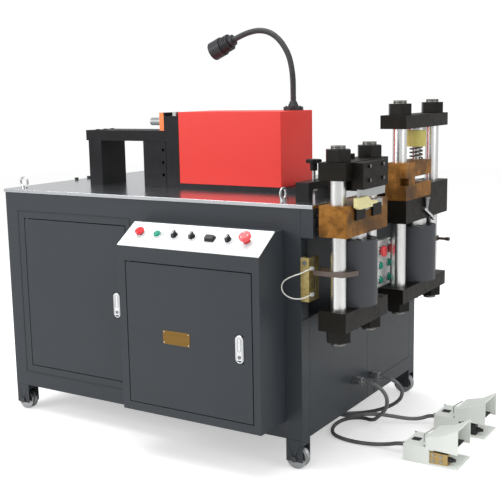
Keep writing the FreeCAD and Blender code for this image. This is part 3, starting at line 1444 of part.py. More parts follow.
def punch_press():
    """Fixed block with its slotted die block, and the frame that the cylinder pulls down."""
    front, back = punch_span(S.punch_block_front, S.punch_block_rear)
    rear = back - S.punch_rear_length
    blank = profiled("punch_blank", "YZ_Plane", (PRESS_LEFT, 0, 0), [
        (front, PUNCH_BLOCK_LOW), (back, PUNCH_BLOCK_LOW), (back, PUNCH_BLOCK_TOP + S.punch_rear_rise),
        (rear, PUNCH_BLOCK_TOP + S.punch_rear_rise), (rear, PUNCH_BLOCK_TOP), (front, PUNCH_BLOCK_TOP),
    ], S.press_thickness)
    holes = through_holes(S.punch_column, S.punch_pitch, PUNCH_BLOCK_LOW,
                          PUNCH_BLOCK_TOP + S.punch_rear_rise)
    die_left = PRESS_RIGHT - S.die_block_width
    die_front = S.punch_column - S.die_block_front
    die_back = rear - S.die_back_gap
    die_blank = profiled("die_blank", "YZ_Plane", (die_left, 0, 0), [
        (die_front, PUNCH_BLOCK_TOP), (die_back, PUNCH_BLOCK_TOP), (die_back, DIE_SLOT_LOW),
        (die_front + S.die_web, DIE_SLOT_LOW), (die_front + S.die_web, DIE_SLOT_HIGH),
        (die_back, DIE_SLOT_HIGH), (die_back, DIE_TOP), (die_front, DIE_TOP),
    ], S.die_block_width)
    column_hole = rod("die_column_hole", "Z", (PRESS_X, S.punch_column, PUNCH_BLOCK_TOP - S.overrun),
                      DIE_TOP - PUNCH_BLOCK_TOP + S.overrun * 2, S.column_radius + S.column_fit)
    guide = rod("punch_guide", "Z", (PRESS_X, PUNCH_MIDDLE, DIE_SLOT_HIGH - S.overrun),
                S.die_upper_height + S.overrun * 2, S.punch_stem_radius + S.cap_slack)
    seat = rod("die_seat", "Z", (PRESS_X, PUNCH_MIDDLE, DIE_SLOT_LOW - S.die_button_height),
               S.die_button_height + S.overrun, S.die_radius)
    notch = slab("die_notch", (PRESS_RIGHT - S.die_notch, PRESS_RIGHT + S.overrun),
                 (die_front - S.overrun, die_front + S.die_notch), (DIE_SLOT_LOW, DIE_SLOT_HIGH))
    button = rod("die_button", "Z", (PRESS_X, PUNCH_MIDDLE, DIE_SLOT_LOW - S.die_button_height),
                 S.die_button_height, S.die_radius)
    hole_low = DIE_SLOT_LOW - S.die_button_height - S.overrun
    button_hole = rod("die_hole", "Z", (PRESS_X, PUNCH_MIDDLE, hole_low),
                      S.die_button_height + S.overrun * 2, S.punch_stem_radius + S.die_hole_slack)
    node("punch_block", group(
        "punch_block", cut("punch_drilled", blank, *holes), pipe_elbow(front + S.elbow_along),
        cut("die_block", die_blank, column_hole, guide, seat, notch), cut("die", button, button_hole)))
    plates("punch_plates", S.punch_column, S.punch_pitch, PUNCH_BOTTOM, PUNCH_TOP,
           punch_span(S.punch_bottom_front, S.punch_top_rear),
           punch_span(S.punch_top_front, S.punch_top_rear))
    columns("punch_columns", S.punch_column, S.punch_pitch, PUNCH_BOTTOM, PUNCH_TOP, punch_trip_arm())
    cylinder("punch_cylinder", PUNCH_MIDDLE, PUNCH_CYLINDER_LOW, S.punch_cylinder_height)
    punch_tools()
    pistons = group(
        "press_pistons", piston("shear_piston", SHEAR_MIDDLE, SHEAR_CYLINDER_LOW, SHEAR_BLOCK_LOW),
        piston("punch_piston", PUNCH_MIDDLE, PUNCH_CYLINDER_LOW, PUNCH_BLOCK_LOW))
    node("press_pistons", pistons)


def pipe_elbow(y):
    """Oil fitting on the block's face: a foot, a stem and a pipe that slopes back and down to a nut."""
    x, high = PRESS_RIGHT + S.elbow_radius, PUNCH_BLOCK_TOP - S.elbow_level
    low = high - S.elbow_height
    foot = rod("elbow_foot", "X", (PRESS_RIGHT, y, low + S.elbow_height / 2), S.elbow_radius,
               S.elbow_radius)
    stem = rod("elbow_stem", "Z", (x, y, low), S.elbow_height, S.elbow_radius)
    slope = Rotation(Vector(0, 0, 1), Vector(0, S.elbow_run.number, -S.elbow_fall.number))
    pipe = doc.addObject("Part::Cylinder", "elbow_pipe")
    bind(pipe, "Radius", S.elbow_radius)
    bind(pipe, "Height", diagonal(S.elbow_run, S.elbow_fall))
    settle(pipe, x, y - S.elbow_back, low + S.elbow_back / 2, rotation=slope)
    nut = doc.addObject("Part::Prism", "elbow_nut")
    nut.Polygon = 6
    bind(nut, "Circumradius", S.elbow_nut_radius)
    bind(nut, "Height", S.elbow_nut_length)
    settle(nut, x, y - S.elbow_back + S.elbow_run, low + S.elbow_back / 2 - S.elbow_fall, rotation=slope)
    return fuse("elbow", foot, stem, pipe, nut)


def punch_trip_arm():
    """Collar on the rear column with a finger that points outwards."""
    y = S.punch_column + S.punch_pitch
    ring = rod("trip_collar", "Z", (PRESS_X, y, S.trip_level), S.trip_width, S.collar_radius)
    hole = rod("trip_collar_hole", "Z", (PRESS_X, y, S.trip_level - S.overrun),
               S.trip_width + S.overrun * 2, S.column_radius)
    start = PRESS_X + (S.collar_radius + S.column_radius) / 2
    finger = rod("trip_finger", "X", (start, y, S.trip_level + S.trip_width / 2),
                 S.finger_length, S.finger_radius)
    tip = rod("trip_tip", "X", (start + S.finger_length, y, S.trip_level + S.trip_width / 2),
              S.finger_tip_length, S.finger_tip_radius)
    return fuse("trip_arm", cut("trip_ring", ring, hole), finger), tip


def punch_tools():
    """Punch with its flange, the urethane stripper round it and the spring below."""
    top = PUNCH_TOP[0]
    tip = DIE_SLOT_HIGH + S.punch_tip_gap
    node("punch_tool", turned("punch_tool", "Z", (PRESS_X, PUNCH_MIDDLE, 0), [
        (0, tip), (S.punch_stem_radius, tip), (S.punch_stem_radius, top - S.punch_flange_height),
        (S.punch_flange_radius, top - S.punch_flange_height), (S.punch_flange_radius, top), (0, top),
    ]))
    high = top - S.punch_flange_height
    low = high - S.urethane_height
    node("stripper_ring", turned("stripper_ring", "Z", (PRESS_X, PUNCH_MIDDLE, 0), [
        (S.punch_stem_radius, low), (S.urethane_radius, low), (S.urethane_radius, high),
        (S.punch_stem_radius, high),
    ]))
    node("stripper_spring", coil_spring(
        "stripper_spring", Vector(PRESS_X.number, PUNCH_MIDDLE.number, DIE_TOP.number),
        (low - DIE_TOP).number, S.spring_radius.number, S.spring_wire.number, S.spring_lead.number))


def biarc(start, start_way, end, end_way):
    """Two arcs that join two points and leave along the two given directions."""
    gap = end - start
    both = start_way + end_way
    a = both.dot(both) - 4
    b = -2 * gap.dot(both)
    c = gap.dot(gap)
    reach = (-b - math.sqrt(b * b - 4 * a * c)) / (2 * a)
    first, second = start + start_way * reach, end - end_way * reach
    joint = (first + second) * 0.5
    arcs = []
    for here, corner, there in ((start, first, joint), (joint, second, end)):
        back = (here - corner).normalize()
        ahead = (there - corner).normalize()
        half = (math.pi - back.getAngle(ahead)) / 2
        side = (here - corner).Length
        radius = side / math.tan(half)
        middle = corner + (back + ahead).normalize() * (math.hypot(radius, side) - radius)
        arcs.append(Part.Arc(here, middle, there).toShape())
    return arcs


def coil_spring(name, foot, height, radius, wire, lead):
    """Open spring: a helix of quarter turns between its two seats, as one unbroken tube."""
    rise = height - 2 * wire - 2 * lead / 10
    steps = SPRING_TURNS * QUARTERS
    climb = rise / steps
    slope = climb / (radius * math.pi / 2)

    def place(step):
        angle = step * math.pi / 2
        base = foot + Vector(0, 0, wire + lead / 10)
        return base + Vector(radius * math.cos(angle), radius * math.sin(angle), climb * step)

    def way(step):
        angle = step * math.pi / 2
        return Vector(-math.sin(angle), math.cos(angle), slope).normalize()

    edges = []
    for step in range(steps):
        edges += biarc(place(step), way(step), place(step + 1), way(step + 1))
    path = Part.Wire(edges)
    tube = swept(path, way(0), wire)
    print(f"{name}: least gap between turns {climb * QUARTERS - 2 * wire:.2f}")
    return shaped(name, tube)


def sensor_bracket():
    """Zinc plated channel on the end of the cabinet, with two terminals on its outer flange."""
    low, high = S.sensor_low, S.sensor_low + S.sensor_height
    reach, t = S.sensor_reach, S.sensor_sheet
    channel = profiled("channel", "XY_Plane", (0, 0, low), [
        (0, 0), (0, -t), (reach, -t), (reach, S.sensor_side), (reach - t, S.sensor_side),
        (reach - t, 0), (t, 0), (t, S.sensor_foot), (0, S.sensor_foot),
    ], S.sensor_height)
    slot_y = S.sensor_side / 2 + S.sensor_slot_radius
    slot_low, slot_high = low + S.sensor_slot_low, low + S.sensor_slot_low + S.sensor_slot_length
    across = (reach - t - S.overrun, reach + S.overrun)
    slot = slab("slot", across, (slot_y - S.sensor_slot_radius, slot_y + S.sensor_slot_radius),
                (slot_low, slot_high))
    ends = [rod("slot_end", "X", (across[0], slot_y, z), t + S.overrun * 2, S.sensor_slot_radius)
            for z in (slot_low, slot_high)]
    flange_hole = rod("flange_hole", "X", (across[0], slot_y, low + S.sensor_hole_level),
                      t + S.overrun * 2, S.sensor_hole_radius)
    web_hole = rod("web_hole", "Y", (reach / 2, -t - S.overrun, low + S.sensor_hole_level),
                   t + S.overrun * 2, S.sensor_hole_radius)
    pieces = [cut("bracket", channel, slot, *ends, flange_hole, web_hole)]
    for level in (S.terminal_low, S.terminal_high):
        z = low + level
        y = S.terminal_inset
        nut = rod("terminal_nut", "X", (reach, y, z), S.terminal_reach * 2, S.terminal_radius)
        pieces.append(nut)
        ends_x = (reach + S.terminal_reach / 2, reach + S.terminal_reach * 2)
        ends_z = (z - S.lead_radius * 2, z + S.lead_radius * 2)
        tail = slab("terminal_tail", ends_x, (y - S.terminal_length, y - S.terminal_radius), ends_z)
        neck = slab("terminal_neck", ends_x, (y - S.terminal_radius, y), ends_z)
        pieces[-1] = fuse("terminal", nut, neck, tail)
    return node("sensor_bracket", group("sensor_bracket", *pieces))


STATION_BUTTONS = [
    (f"station_{column}_{kind}", column_index, row_index)
    for column_index, column in enumerate(("front", "rear"))
    for row_index, kind in enumerate(("lower_green", "upper_green", "red"))
]


def station_place(column, row_index):
    y = S.station_front + S.station_column + S.station_pitch * column
    z = S.station_low + S.station_row_low + S.station_row_pitch * row_index
    return y, z


def station_box():
    """Box of two button stations in front of the recess, open at its back."""
    back = -S.sheet - S.tube
    y1, z1 = S.station_front + S.station_length, S.station_low + S.station_height
    outer = slab("station_outer", (back, S.station_face), (S.station_front, y1), (S.station_low, z1))
    inner = slab("station_inner", (back - S.overrun, S.station_face - S.sheet),
                 (S.station_front + S.sheet, y1 - S.sheet), (S.station_low + S.sheet, z1 - S.sheet))
    holes, bezels = [], []
    for _, column, row_index in STATION_BUTTONS:
        y, z = station_place(column, row_index)
        holes.append(rod("station_hole", "X", (S.station_face - S.overrun, y, z), S.overrun * 2,
                         S.stem_radius + S.cap_slack))
        ring = rod("station_bezel", "X", (S.station_face, y, z), S.bezel_height, S.bezel_radius)
        well = rod("station_well", "X", (S.station_face - S.overrun, y, z), S.bezel_height + S.overrun * 2,
                   S.bezel_radius - S.bezel_wall)
        bezels.append(cut("station_ring", ring, well))
    node("station_box", group("station_box", cut("station_case", outer, inner, *holes), *bezels))
    cap = S.bezel_radius - S.bezel_wall - S.cap_slack
    for name, column, row_index in STATION_BUTTONS:
        y, z = station_place(column, row_index)
        if name.endswith("red"):
            low = S.mushroom_low + S.station_red_lift
            profile = button_profile(S.station_red_radius, low, low + S.mushroom_thickness, S.stem_radius)
        else:
            profile = button_profile(cap, S.cap_low, S.cap_high, S.stem_radius)
        node(name, turned(name, "X", (S.station_face, y, z), profile))


def hold_down():
    """Bridge over the stock on the table, the star knob with its spindle, and the swivel foot."""
    x0, x1 = -S.bridge_right - S.bridge_width, -S.bridge_right
    y0, y1 = S.bridge_front, S.bridge_front + S.bridge_length
    top = TABLE + S.bridge_height
    x, y = x0 + S.bridge_width / 2, y0 + S.bridge_length / 2
    under = top - S.bridge_lintel
    blank = profiled("bridge_blank", "YZ_Plane", (x0, 0, 0), [
        (y0, TABLE), (y0 + S.bridge_leg, TABLE), (y0 + S.bridge_leg, under), (y1 - S.bridge_leg, under),
        (y1 - S.bridge_leg, TABLE), (y1, TABLE), (y1, top), (y0, top),
    ], S.bridge_width)
    hole = rod("spindle_hole", "Z", (x, y, under - S.overrun), S.bridge_lintel + S.overrun * 2,
               S.spindle_radius + S.running_fit)
    node("hold_down_bridge", cut("hold_down_bridge", blank, hole))
    foot = under - S.foot_gap
    hub = top + S.spindle_height - S.hub_height - S.star_height - S.star_drop
    tip = foot - S.foot_height + S.foot_floor
    neck = S.spindle_radius - S.foot_floor
    node("hold_down_screw", turned("hold_down_screw", "Z", (x, y, 0), [
        (0, tip), (neck, tip), (neck, foot + S.foot_slack), (S.spindle_radius, foot + S.foot_slack),
        (S.spindle_radius, hub), (S.hub_radius, hub), (S.hub_radius, hub + S.hub_height),
        (S.star_radius, hub + S.hub_height), (S.star_radius, hub + S.hub_height + S.star_height),
        (0, hub + S.hub_height + S.star_height),
    ]))
    node("hold_down_foot", turned("hold_down_foot", "Z", (x, y, 0), [
        (0, foot - S.foot_height), (S.foot_radius, foot - S.foot_height), (S.foot_radius, foot),
        (neck + S.running_fit, foot), (neck + S.running_fit, tip - S.foot_slack), (0, tip - S.foot_slack),
    ]))


PEDALS = (("front", S.pedal_front_x, S.pedal_front_y), ("rear", S.pedal_rear_x, S.pedal_rear_y))


def pedals():
    """Two foot switches: plate and case, hood over the treadle, switch below it and the treadle."""
    pieces = []
    for name, x, y in PEDALS:
        y1, middle = y + S.pedal_width, y + S.pedal_width / 2
        plate = slab("pedal_plate", (x, x + S.pedal_length), (y, y1), (0, S.pedal_plate))
        case_top = S.pedal_plate + S.case_height
        case = slab("pedal_case", (x, x + S.case_length), (y, y1), (S.pedal_plate, case_top))
        gland = rod("pedal_gland", "-X", (x, middle, S.cable_level), S.pedal_gland_length,
                    S.pedal_gland_radius)
        hinge_x = x + S.case_length + S.treadle_gap + S.treadle_pin
        ears = []
        ear_x = x + S.case_length
        for side in (y + S.treadle_side - S.treadle_gap - S.pedal_plate, y1 - S.treadle_side + S.treadle_gap):
            ears.append(slab("treadle_ear", (ear_x, ear_x + S.treadle_ear + S.treadle_pin),
                             (side, side + S.pedal_plate),
                             (S.case_height - S.treadle_pin, S.treadle_level + S.treadle_ear)))
        ear_side = S.treadle_side - S.treadle_gap - S.pedal_plate
        pin = rod("treadle_pin", "Y", (hinge_x + S.treadle_pin, y + ear_side, S.treadle_level),
                  S.pedal_width - ear_side * 2, S.treadle_pin / 2)
        shell = fuse("pedal_shell", plate, case, gland, *ears, pin)
        switch_x = x + S.case_length
        switch = slab("switch_body", (switch_x, switch_x + S.switch_length),
                      (y + S.switch_side, y + S.switch_side + S.switch_width),
                      (S.pedal_plate, S.pedal_plate + S.switch_height))
        pieces += [shell, switch, hood(x, y)]
        treadle(name, x, y)
    node("pedal_housings", group("pedal_housings", *pieces))


def hood(x, y):
    """Folded hood: roof and two sides, shut at its back and open below and in front."""
    t = S.hood_sheet

    case_top = S.pedal_plate + S.case_height
    outer = profiled("hood_outer", "XZ_Plane", (x, y, 0), [
        (S.hood_back, case_top), (S.hood_back, S.hood_shoulder), (S.hood_bend, S.hood_bend_height),
        (S.pedal_length, S.hood_mouth), (S.pedal_length, S.hood_side), (S.case_length, S.hood_low),
        (S.case_length, case_top),
    ], S.pedal_width)
    inner = profiled("hood_inner", "XZ_Plane", (x, y + t, 0), [
        (S.hood_back + t, S.hood_side - t), (S.hood_back + t, S.hood_shoulder - t),
        (S.hood_bend, S.hood_bend_height - t), (S.pedal_length + t, S.hood_mouth - t),
        (S.pedal_length + t, S.hood_side - t * 4),
    ], S.pedal_width - t * 2)
    return cut("hood", outer, inner)


def treadle(name, x, y):
    """Treadle plate with a sleeve on the hinge pin."""
    hinge_x = x + S.case_length + S.treadle_gap + S.treadle_pin * 2
    y0, y1 = y + S.treadle_side, y + S.pedal_width - S.treadle_side
    plate = slab("treadle_plate", (hinge_x, hinge_x + S.treadle_length), (y0, y1),
                 (S.treadle_level - S.treadle_thickness / 2, S.treadle_level + S.treadle_thickness / 2))
    sleeve = rod("treadle_sleeve", "Y", (hinge_x, y0, S.treadle_level), y1 - y0, S.treadle_pin)
    bore = rod("treadle_bore", "Y", (hinge_x, y0 - S.overrun, S.treadle_level),
               y1 - y0 + S.overrun * 2, S.treadle_pin / 2 + S.running_fit)
    node(name + "_treadle", cut(name + "_treadle", fuse("treadle_blank", plate, sleeve), bore))


def cable_glands():
    """Hexagon, nut and tapered end of each gland on the cabinet's end."""
    pieces = []
    for y, z in ((S.gland_front_y, S.gland_front_z), (S.gland_rear_y, S.gland_rear_z)):
        hexagon_end = S.gland_hex_length
        nut_end = hexagon_end + S.gland_nut_length
        pieces.append(hexagon("gland_hexagon", "X", (0, y, z), hexagon_end, S.gland_hex_radius))
        pieces.append(rod("gland_nut", "X", (hexagon_end, y, z), S.gland_nut_length, S.gland_nut_radius))
        taper = doc.addObject("Part::Cone", "gland_taper")
        bind(taper, "Radius1", S.gland_nut_radius)
        bind(taper, "Radius2", S.cable_radius + S.sheet / 2)
        bind(taper, "Height", S.gland_length - nut_end)
        pieces.append(settle(taper, nut_end, y, z, rotation=TURN["X"]))
    return pieces


def cords():
    """Both pedal cables and the looped sensor lead."""
    cable = S.cable_radius.number
    node("front_pedal_cable", flexible("front_pedal_cable", FRONT_CABLE_ROUTE, cable))
    node("rear_pedal_cable", flexible("rear_pedal_cable", REAR_CABLE_ROUTE, cable))
    node("sensor_lead", flexible("sensor_lead", SENSOR_LEAD_ROUTE, S.lead_radius.number))


cabinet_frame()
cabinet_panels()
table_top()
press_beam()
lifting_eyes()
fasteners()
wheels()
door("left_door")
door("box_door")
control_box()
control_panel()
panel_controls()
control_gear()
power_pack()
bending_frame()
bending_ram()
bending_cover()
work_lamp()
shear_press()
punch_press()
sensor_bracket()
station_box()
hold_down()
pedals()
cords()
doc.recompute()

faults = []
for item in doc.Objects:
    if "Invalid" in item.State or "Error" in item.State:
        faults.append(f"{item.Label} {item.State}")
for item in nodes:
    if item.Shape.isNull() or not item.Shape.isValid() or not item.Shape.Solids:
        faults.append(f"{item.Label} has no valid solid")
if faults:
    raise RuntimeError("; ".join(faults))

os.makedirs("parts", exist_ok=True)
for item in nodes:
    item.Shape.exportStep(f"parts/{item.Label}.step")
print(len(nodes), "nodes written")
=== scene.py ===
# %% [markdown]
# # Dressing a busbar processing machine
# The machine cuts, punches and bends flat copper bar. Its solids come in as a fixed frame, already
# jointed, and this lesson gives them edges, finishes and the small parts that a maker's eye expects:
# louvres, rivets, knurls, a segmented goose neck. Everything is in metres, at rest, in the frame's axes.

import json
from collections import Counter
from functools import cache
from math import cos, pi, radians, sin, tau

import bmesh
import bpy
from mathutils import Matrix, Vector


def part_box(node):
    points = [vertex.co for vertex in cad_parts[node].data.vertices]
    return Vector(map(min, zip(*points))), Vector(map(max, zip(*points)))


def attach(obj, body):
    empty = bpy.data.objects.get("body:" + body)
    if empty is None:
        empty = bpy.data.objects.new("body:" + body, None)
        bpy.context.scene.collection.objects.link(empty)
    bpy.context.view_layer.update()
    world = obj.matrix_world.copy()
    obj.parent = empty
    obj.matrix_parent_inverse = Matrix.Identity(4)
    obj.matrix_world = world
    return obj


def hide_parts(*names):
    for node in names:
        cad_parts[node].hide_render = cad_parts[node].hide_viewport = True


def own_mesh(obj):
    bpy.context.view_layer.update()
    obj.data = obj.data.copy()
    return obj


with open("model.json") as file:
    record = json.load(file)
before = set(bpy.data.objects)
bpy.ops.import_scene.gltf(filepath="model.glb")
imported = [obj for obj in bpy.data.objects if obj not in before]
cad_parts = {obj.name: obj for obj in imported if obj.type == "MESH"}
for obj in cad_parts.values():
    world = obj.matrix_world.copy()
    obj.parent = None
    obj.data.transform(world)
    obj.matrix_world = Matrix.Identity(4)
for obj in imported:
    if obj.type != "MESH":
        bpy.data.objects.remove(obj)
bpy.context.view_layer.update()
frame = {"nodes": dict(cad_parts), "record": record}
NODES = frame["nodes"]
MM = 0.001
SHIFT = Vector((435.0, -404.5, 0.0))


def at(x, y, z):
    """A point of the machine's own millimetres, whose zero is the cabinet's right front corner."""
    return (Vector((x, y, z)) + SHIFT) * MM


# %% [markdown]
# ## The camera
# The photograph was taken from the right front, a little above the table. Yaw turns the camera left,
# pitch tips it down and roll levels the horizon as the picture has it. Its place could be tried by hand,
# but the picture's straight edges fix it: the focal length is known in pixels of the frame, and a lens in
# millimetres follows from the sensor's width.

# %% Camera
CAMERA_PLACE = at(1388.3, -2525.0, 1234.2)
FOCAL_LENGTH, FRAME_WIDTH = 924.72, 500.0
SENSOR = 36.0
YAW, PITCH, ROLL = radians(31.9927), radians(9.6785), radians(-1.0225)
turn = (Matrix.Rotation(YAW, 3, "Z") @ Matrix.Rotation(pi / 2 - PITCH, 3, "X")
        @ Matrix.Rotation(ROLL, 3, "Z"))
camera_data = bpy.data.cameras.new("camera")
camera_data.sensor_width = SENSOR
camera_data.lens = FOCAL_LENGTH / FRAME_WIDTH * SENSOR
camera_data.clip_end = 60.0
camera = bpy.data.objects.new("camera", camera_data)
camera.matrix_world = Matrix.Translation(CAMERA_PLACE) @ turn.to_4x4()
bpy.context.scene.collection.objects.link(camera)
bpy.context.scene.camera = camera
print("lens", round(camera_data.lens, 2), "mm")

# %% [markdown]
# ## Nodes in one manner
# Materials and Geometry Nodes trees are both trees of nodes. They could be wired link by link, but the
# sum of two noises then takes six lines. Here a socket is wrapped in a class that knows Python's
# operators, so that sums of sockets read as sums of numbers.

# %% A socket that counts


class Socket:
    """An output socket that adds and multiplies like a number."""

    def __init__(self, nodes, socket):
        self.nodes = nodes
        self.socket = socket

    def maths(self, operation, first, second):
        return self.nodes.node("ShaderNodeMath", {"operation": operation}, {0: first, 1: second})

    def __add__(self, other):
        return self.maths("ADD", self, other)

    def __mul__(self, other):
        return self.maths("MULTIPLY", self, other)

    def __pow__(self, other):
        return self.maths("POWER", self, other)

    def __gt__(self, other):
        return self.maths("GREATER_THAN", self, other)

    __radd__ = __add__
    __rmul__ = __mul__


print("operators", [name for name in vars(Socket) if name.startswith("__r")])

# %% [markdown]
# One method makes any node of either sort of tree: its kind, then its settings, because they may change
# its sockets, and then what the sockets get, which is a value or another socket.

# %% A tree and its nodes


class Nodes:
    """A node tree, and the one way in which nodes are added to it."""

    def __init__(self, tree):
        self.tree = tree

    def node(self, kind, settings=None, inputs=None, out=0):
        made = self.tree.nodes.new(kind)
        for name, value in (settings or {}).items():
            if name == "stops":
                self.set_stops(made.color_ramp.elements, value)
            else:
                setattr(made, name, value)
        for name, value in (inputs or {}).items():
            self.feed(made.inputs[name], value)
        return Socket(self, made.outputs[out])

    def set_stops(self, elements, stops):
        while len(elements) > 1:
            elements.remove(elements[-1])
        for index, (place, color) in enumerate(stops):
            stop = elements[0] if index == 0 else elements.new(place)
            stop.position = place
            stop.color = (*color, 1.0)

    def feed(self, socket, value):
        if isinstance(value, Socket):
            self.tree.links.new(value.socket, socket)
        else:
            socket.default_value = value


print("a tree can", [name for name, value in vars(Nodes).items() if callable(value)])

# %% [markdown]
# ## Colours
# A colour is easiest to judge as it looks in a picture, but a shader counts in light. The step between
# the two is the standard curve of screens, so each finish is written down as the eye sees it.

# %% Tones


def tone(red, green, blue):
    """A colour as the eye reads it in a picture, 0 to 255, as the light that a shader wants."""
    shares = (red / 255, green / 255, blue / 255)
    return tuple(s / 12.92 if s <= 0.04045 else ((s + 0.055) / 1.055) ** 2.4 for s in shares)


def scaled(color, factor):
    """The same colour, darker or lighter."""
    return tuple(min(1.0, channel * factor) for channel in color)


print("middle grey as light", round(tone(128, 128, 128)[0], 3))

# %% [markdown]
# A finish is one material with its shader. Its patterns could be painted on an unwrapped surface, but
# noise on Object coordinates needs no unwrapping and is in metres, so a grain is as fine on a screw as
# on the table. Bump turns the same noise into relief that catches the light.

# %% A finish


class Finish(Nodes):
    """A material for one of the machine's finishes."""

    made = []

    def __init__(self, name, slot, color, roughness, metallic=0.0, **sockets):
        self.material = bpy.data.materials.new(name)
        self.material.use_nodes = True
        super().__init__(self.material.node_tree)
        self.slot = slot
        self.made.append(name)
        self.shader = self.tree.nodes["Principled BSDF"]
        self.shader.inputs["Base Color"].default_value = (*color, 1.0)
        self.shader.inputs["Roughness"].default_value = roughness
        self.shader.inputs["Metallic"].default_value = metallic
        for socket, value in sockets.items():
            self.shader.inputs[socket.replace("_", " ")].default_value = value

    def drive(self, socket, value):
        self.feed(self.shader.inputs[socket], value)

    def place(self, stretch=(1, 1, 1)):
        """Object coordinates in metres, stretched where the pattern runs one way."""
        spot = self.node("ShaderNodeTexCoord", out="Object")
        return self.node("ShaderNodeMapping", None, {"Vector": spot, "Scale": stretch})

    def noise(self, scale, detail=2.0, stretch=(1, 1, 1), roughness=0.5):
        """Cloudy noise from 0 to 1; scale is its grains to a metre."""
        return self.node("ShaderNodeTexNoise", None, {
            "Vector": self.place(stretch), "Scale": scale, "Detail": detail, "Roughness": roughness})

    def shades(self, mask, dark, light):
        """A colour between two others, as the mask says."""
        return self.node("ShaderNodeMix", {"data_type": "RGBA"}, {
            0: mask, 6: (*dark, 1.0), 7: (*light, 1.0)}, out=2)

    def over(self, mask, under, above):
        """A colour laid over one already made."""
        return self.node("ShaderNodeMix", {"data_type": "RGBA"}, {0: mask, 6: under, 7: (*above, 1.0)}, out=2)

    def bump(self, height, depth):
        """Relief of that depth in metres."""
        self.drive("Normal", self.node("ShaderNodeBump", None, {
            "Height": height, "Distance": depth, "Strength": 1.0}))


print("a finish can", [name for name, value in vars(Finish).items() if callable(value)])

# %% [markdown]
# ## Cables first
# Two pedal cables leave glands on the cabinet's end, droop to the floor, cross the open floor in loose
# curves and run into the backs of the pedals. Each is one NURBS curve through the air: its control
# points are the cable's route, so the line stays smooth everywhere. A white sensor lead joins two
# proximity switches in the same way.

# %% Rubber and sheath
cable_rubber = Finish("cable_rubber", "black_cable", tone(84, 84, 85), 0.4)
sheath = cable_rubber.noise(900.0, 3.0)
cable_rubber.drive("Base Color", cable_rubber.shades(
    cable_rubber.noise(25.0, 4.0), tone(78, 78, 80), tone(130, 130, 131)))
cable_rubber.drive("Roughness", 0.26 + sheath * 0.2)
cable_rubber.bump(sheath, 0.0002)

lead_sheath = Finish("lead_sheath", "white_cable", tone(222, 222, 216), 0.42)
lead_sheath.drive("Base Color", lead_sheath.shades(
    lead_sheath.noise(60.0, 3.0), tone(206, 205, 196), tone(232, 232, 228)))
lead_sheath.bump(lead_sheath.noise(700.0), 0.0001)
print("cable finishes", cable_rubber.material.name, lead_sheath.material.name)

# %% [markdown]
# The routes are control points in the machine's own millimetres, chosen along the floor and
# through the air. A cable could be a bent tube of straight runs, but rubber has no corners. Order 3 keeps
# the curve near its points, and held ends make it start in its gland and stop in its pedal.

# %% Routes of the cables
FRONT_CABLE = [
    (52, 381, 207), (86, 381, 207), (120, 396, 173), (119, 420, 127), (93, 448, 84),
    (56, 482, 48), (18, 516, 14), (-36, 546, 7.5), (-84, 514, 7.5), (-98, 450, 7.5),
    (-88, 388, 7.5), (-58, 334, 7.5), (-3, 309, 7.5), (56, 306, 7.5), (110, 313, 9),
    (160, 319, 16), (210, 316.5, 32), (237, 316.5, 32),
]
REAR_CABLE = [
    (52, 524, 187), (92, 524, 187), (121, 545, 149), (112, 568, 108), (80, 590, 72),
    (36, 604, 42), (-12, 604, 20), (-62, 590, 8), (-104, 552, 10), (-114, 494, 24),
    (-68, 462, 36), (-14, 482, 44), (34, 520, 42), (80, 556, 30), (126, 588, 18),
    (168, 611, 18), (200, 629.5, 32), (228, 629.5, 32),
]
SENSOR_LEAD = [
    (36, -4, 683), (36, -20, 683), (22, -42, 674), (-6, -56, 664), (-32, -60, 648),
    (-42, -56, 624), (-32, -50, 602), (-8, -42, 590), (18, -30, 590), (36, -18, 599), (36, -4, 599),
]
CABLE_RADIUS, LEAD_RADIUS = 7.0, 2.0
print("control points", len(FRONT_CABLE), len(REAR_CABLE), len(SENSOR_LEAD))

# %% [markdown]
# The curve takes the place of the cable's plain solid and rides on the cabinet, and the cable's real
# length and thickness are printed.

# %% Laying the cables


def smooth_curve(name, route, radius):
    """A NURBS curve of order 3 along a route of the machine's millimetres."""
    data = bpy.data.curves.new(name, "CURVE")
    data.dimensions = "3D"
    data.bevel_depth = radius * MM
    data.bevel_resolution = 5
    data.resolution_u = 12
    data.use_fill_caps = True
    spline = data.splines.new("NURBS")
    spline.points.add(len(route) - 1)
    for point, place in zip(spline.points, route):
        point.co = (*at(*place), 1.0)
    spline.order_u = 3
    spline.use_endpoint_u = True
    curve = bpy.data.objects.new(name, data)
    bpy.context.scene.collection.objects.link(curve)
    return curve


def lay_cable(node, route, radius, length, finish):
    """A free cord in the place of its CAD node, both ends held by the machine."""
    curve = smooth_curve(node + "_line", route, radius)
    curve.data.materials.append(finish.material)
    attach(curve, "cabinet")
    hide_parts(node)
    print(node, length, "mm long,", radius * 2, "mm thick")


lay_cable("front_pedal_cable", FRONT_CABLE, CABLE_RADIUS, 913, cable_rubber)
lay_cable("rear_pedal_cable", REAR_CABLE, CABLE_RADIUS, 859, cable_rubber)
lay_cable("sensor_lead", SENSOR_LEAD, LEAD_RADIUS, 246, lead_sheath)

# %% [markdown]
# ## Paints and metals
# Most of the machine is powder coated sheet. A flat grey would look like card: baked powder has a fine
# orange peel, faint clouds and a gloss that drifts. One function makes the coat in every colour, since
# only its tone, gloss and peel differ from box to cover.

# %% Powder coats


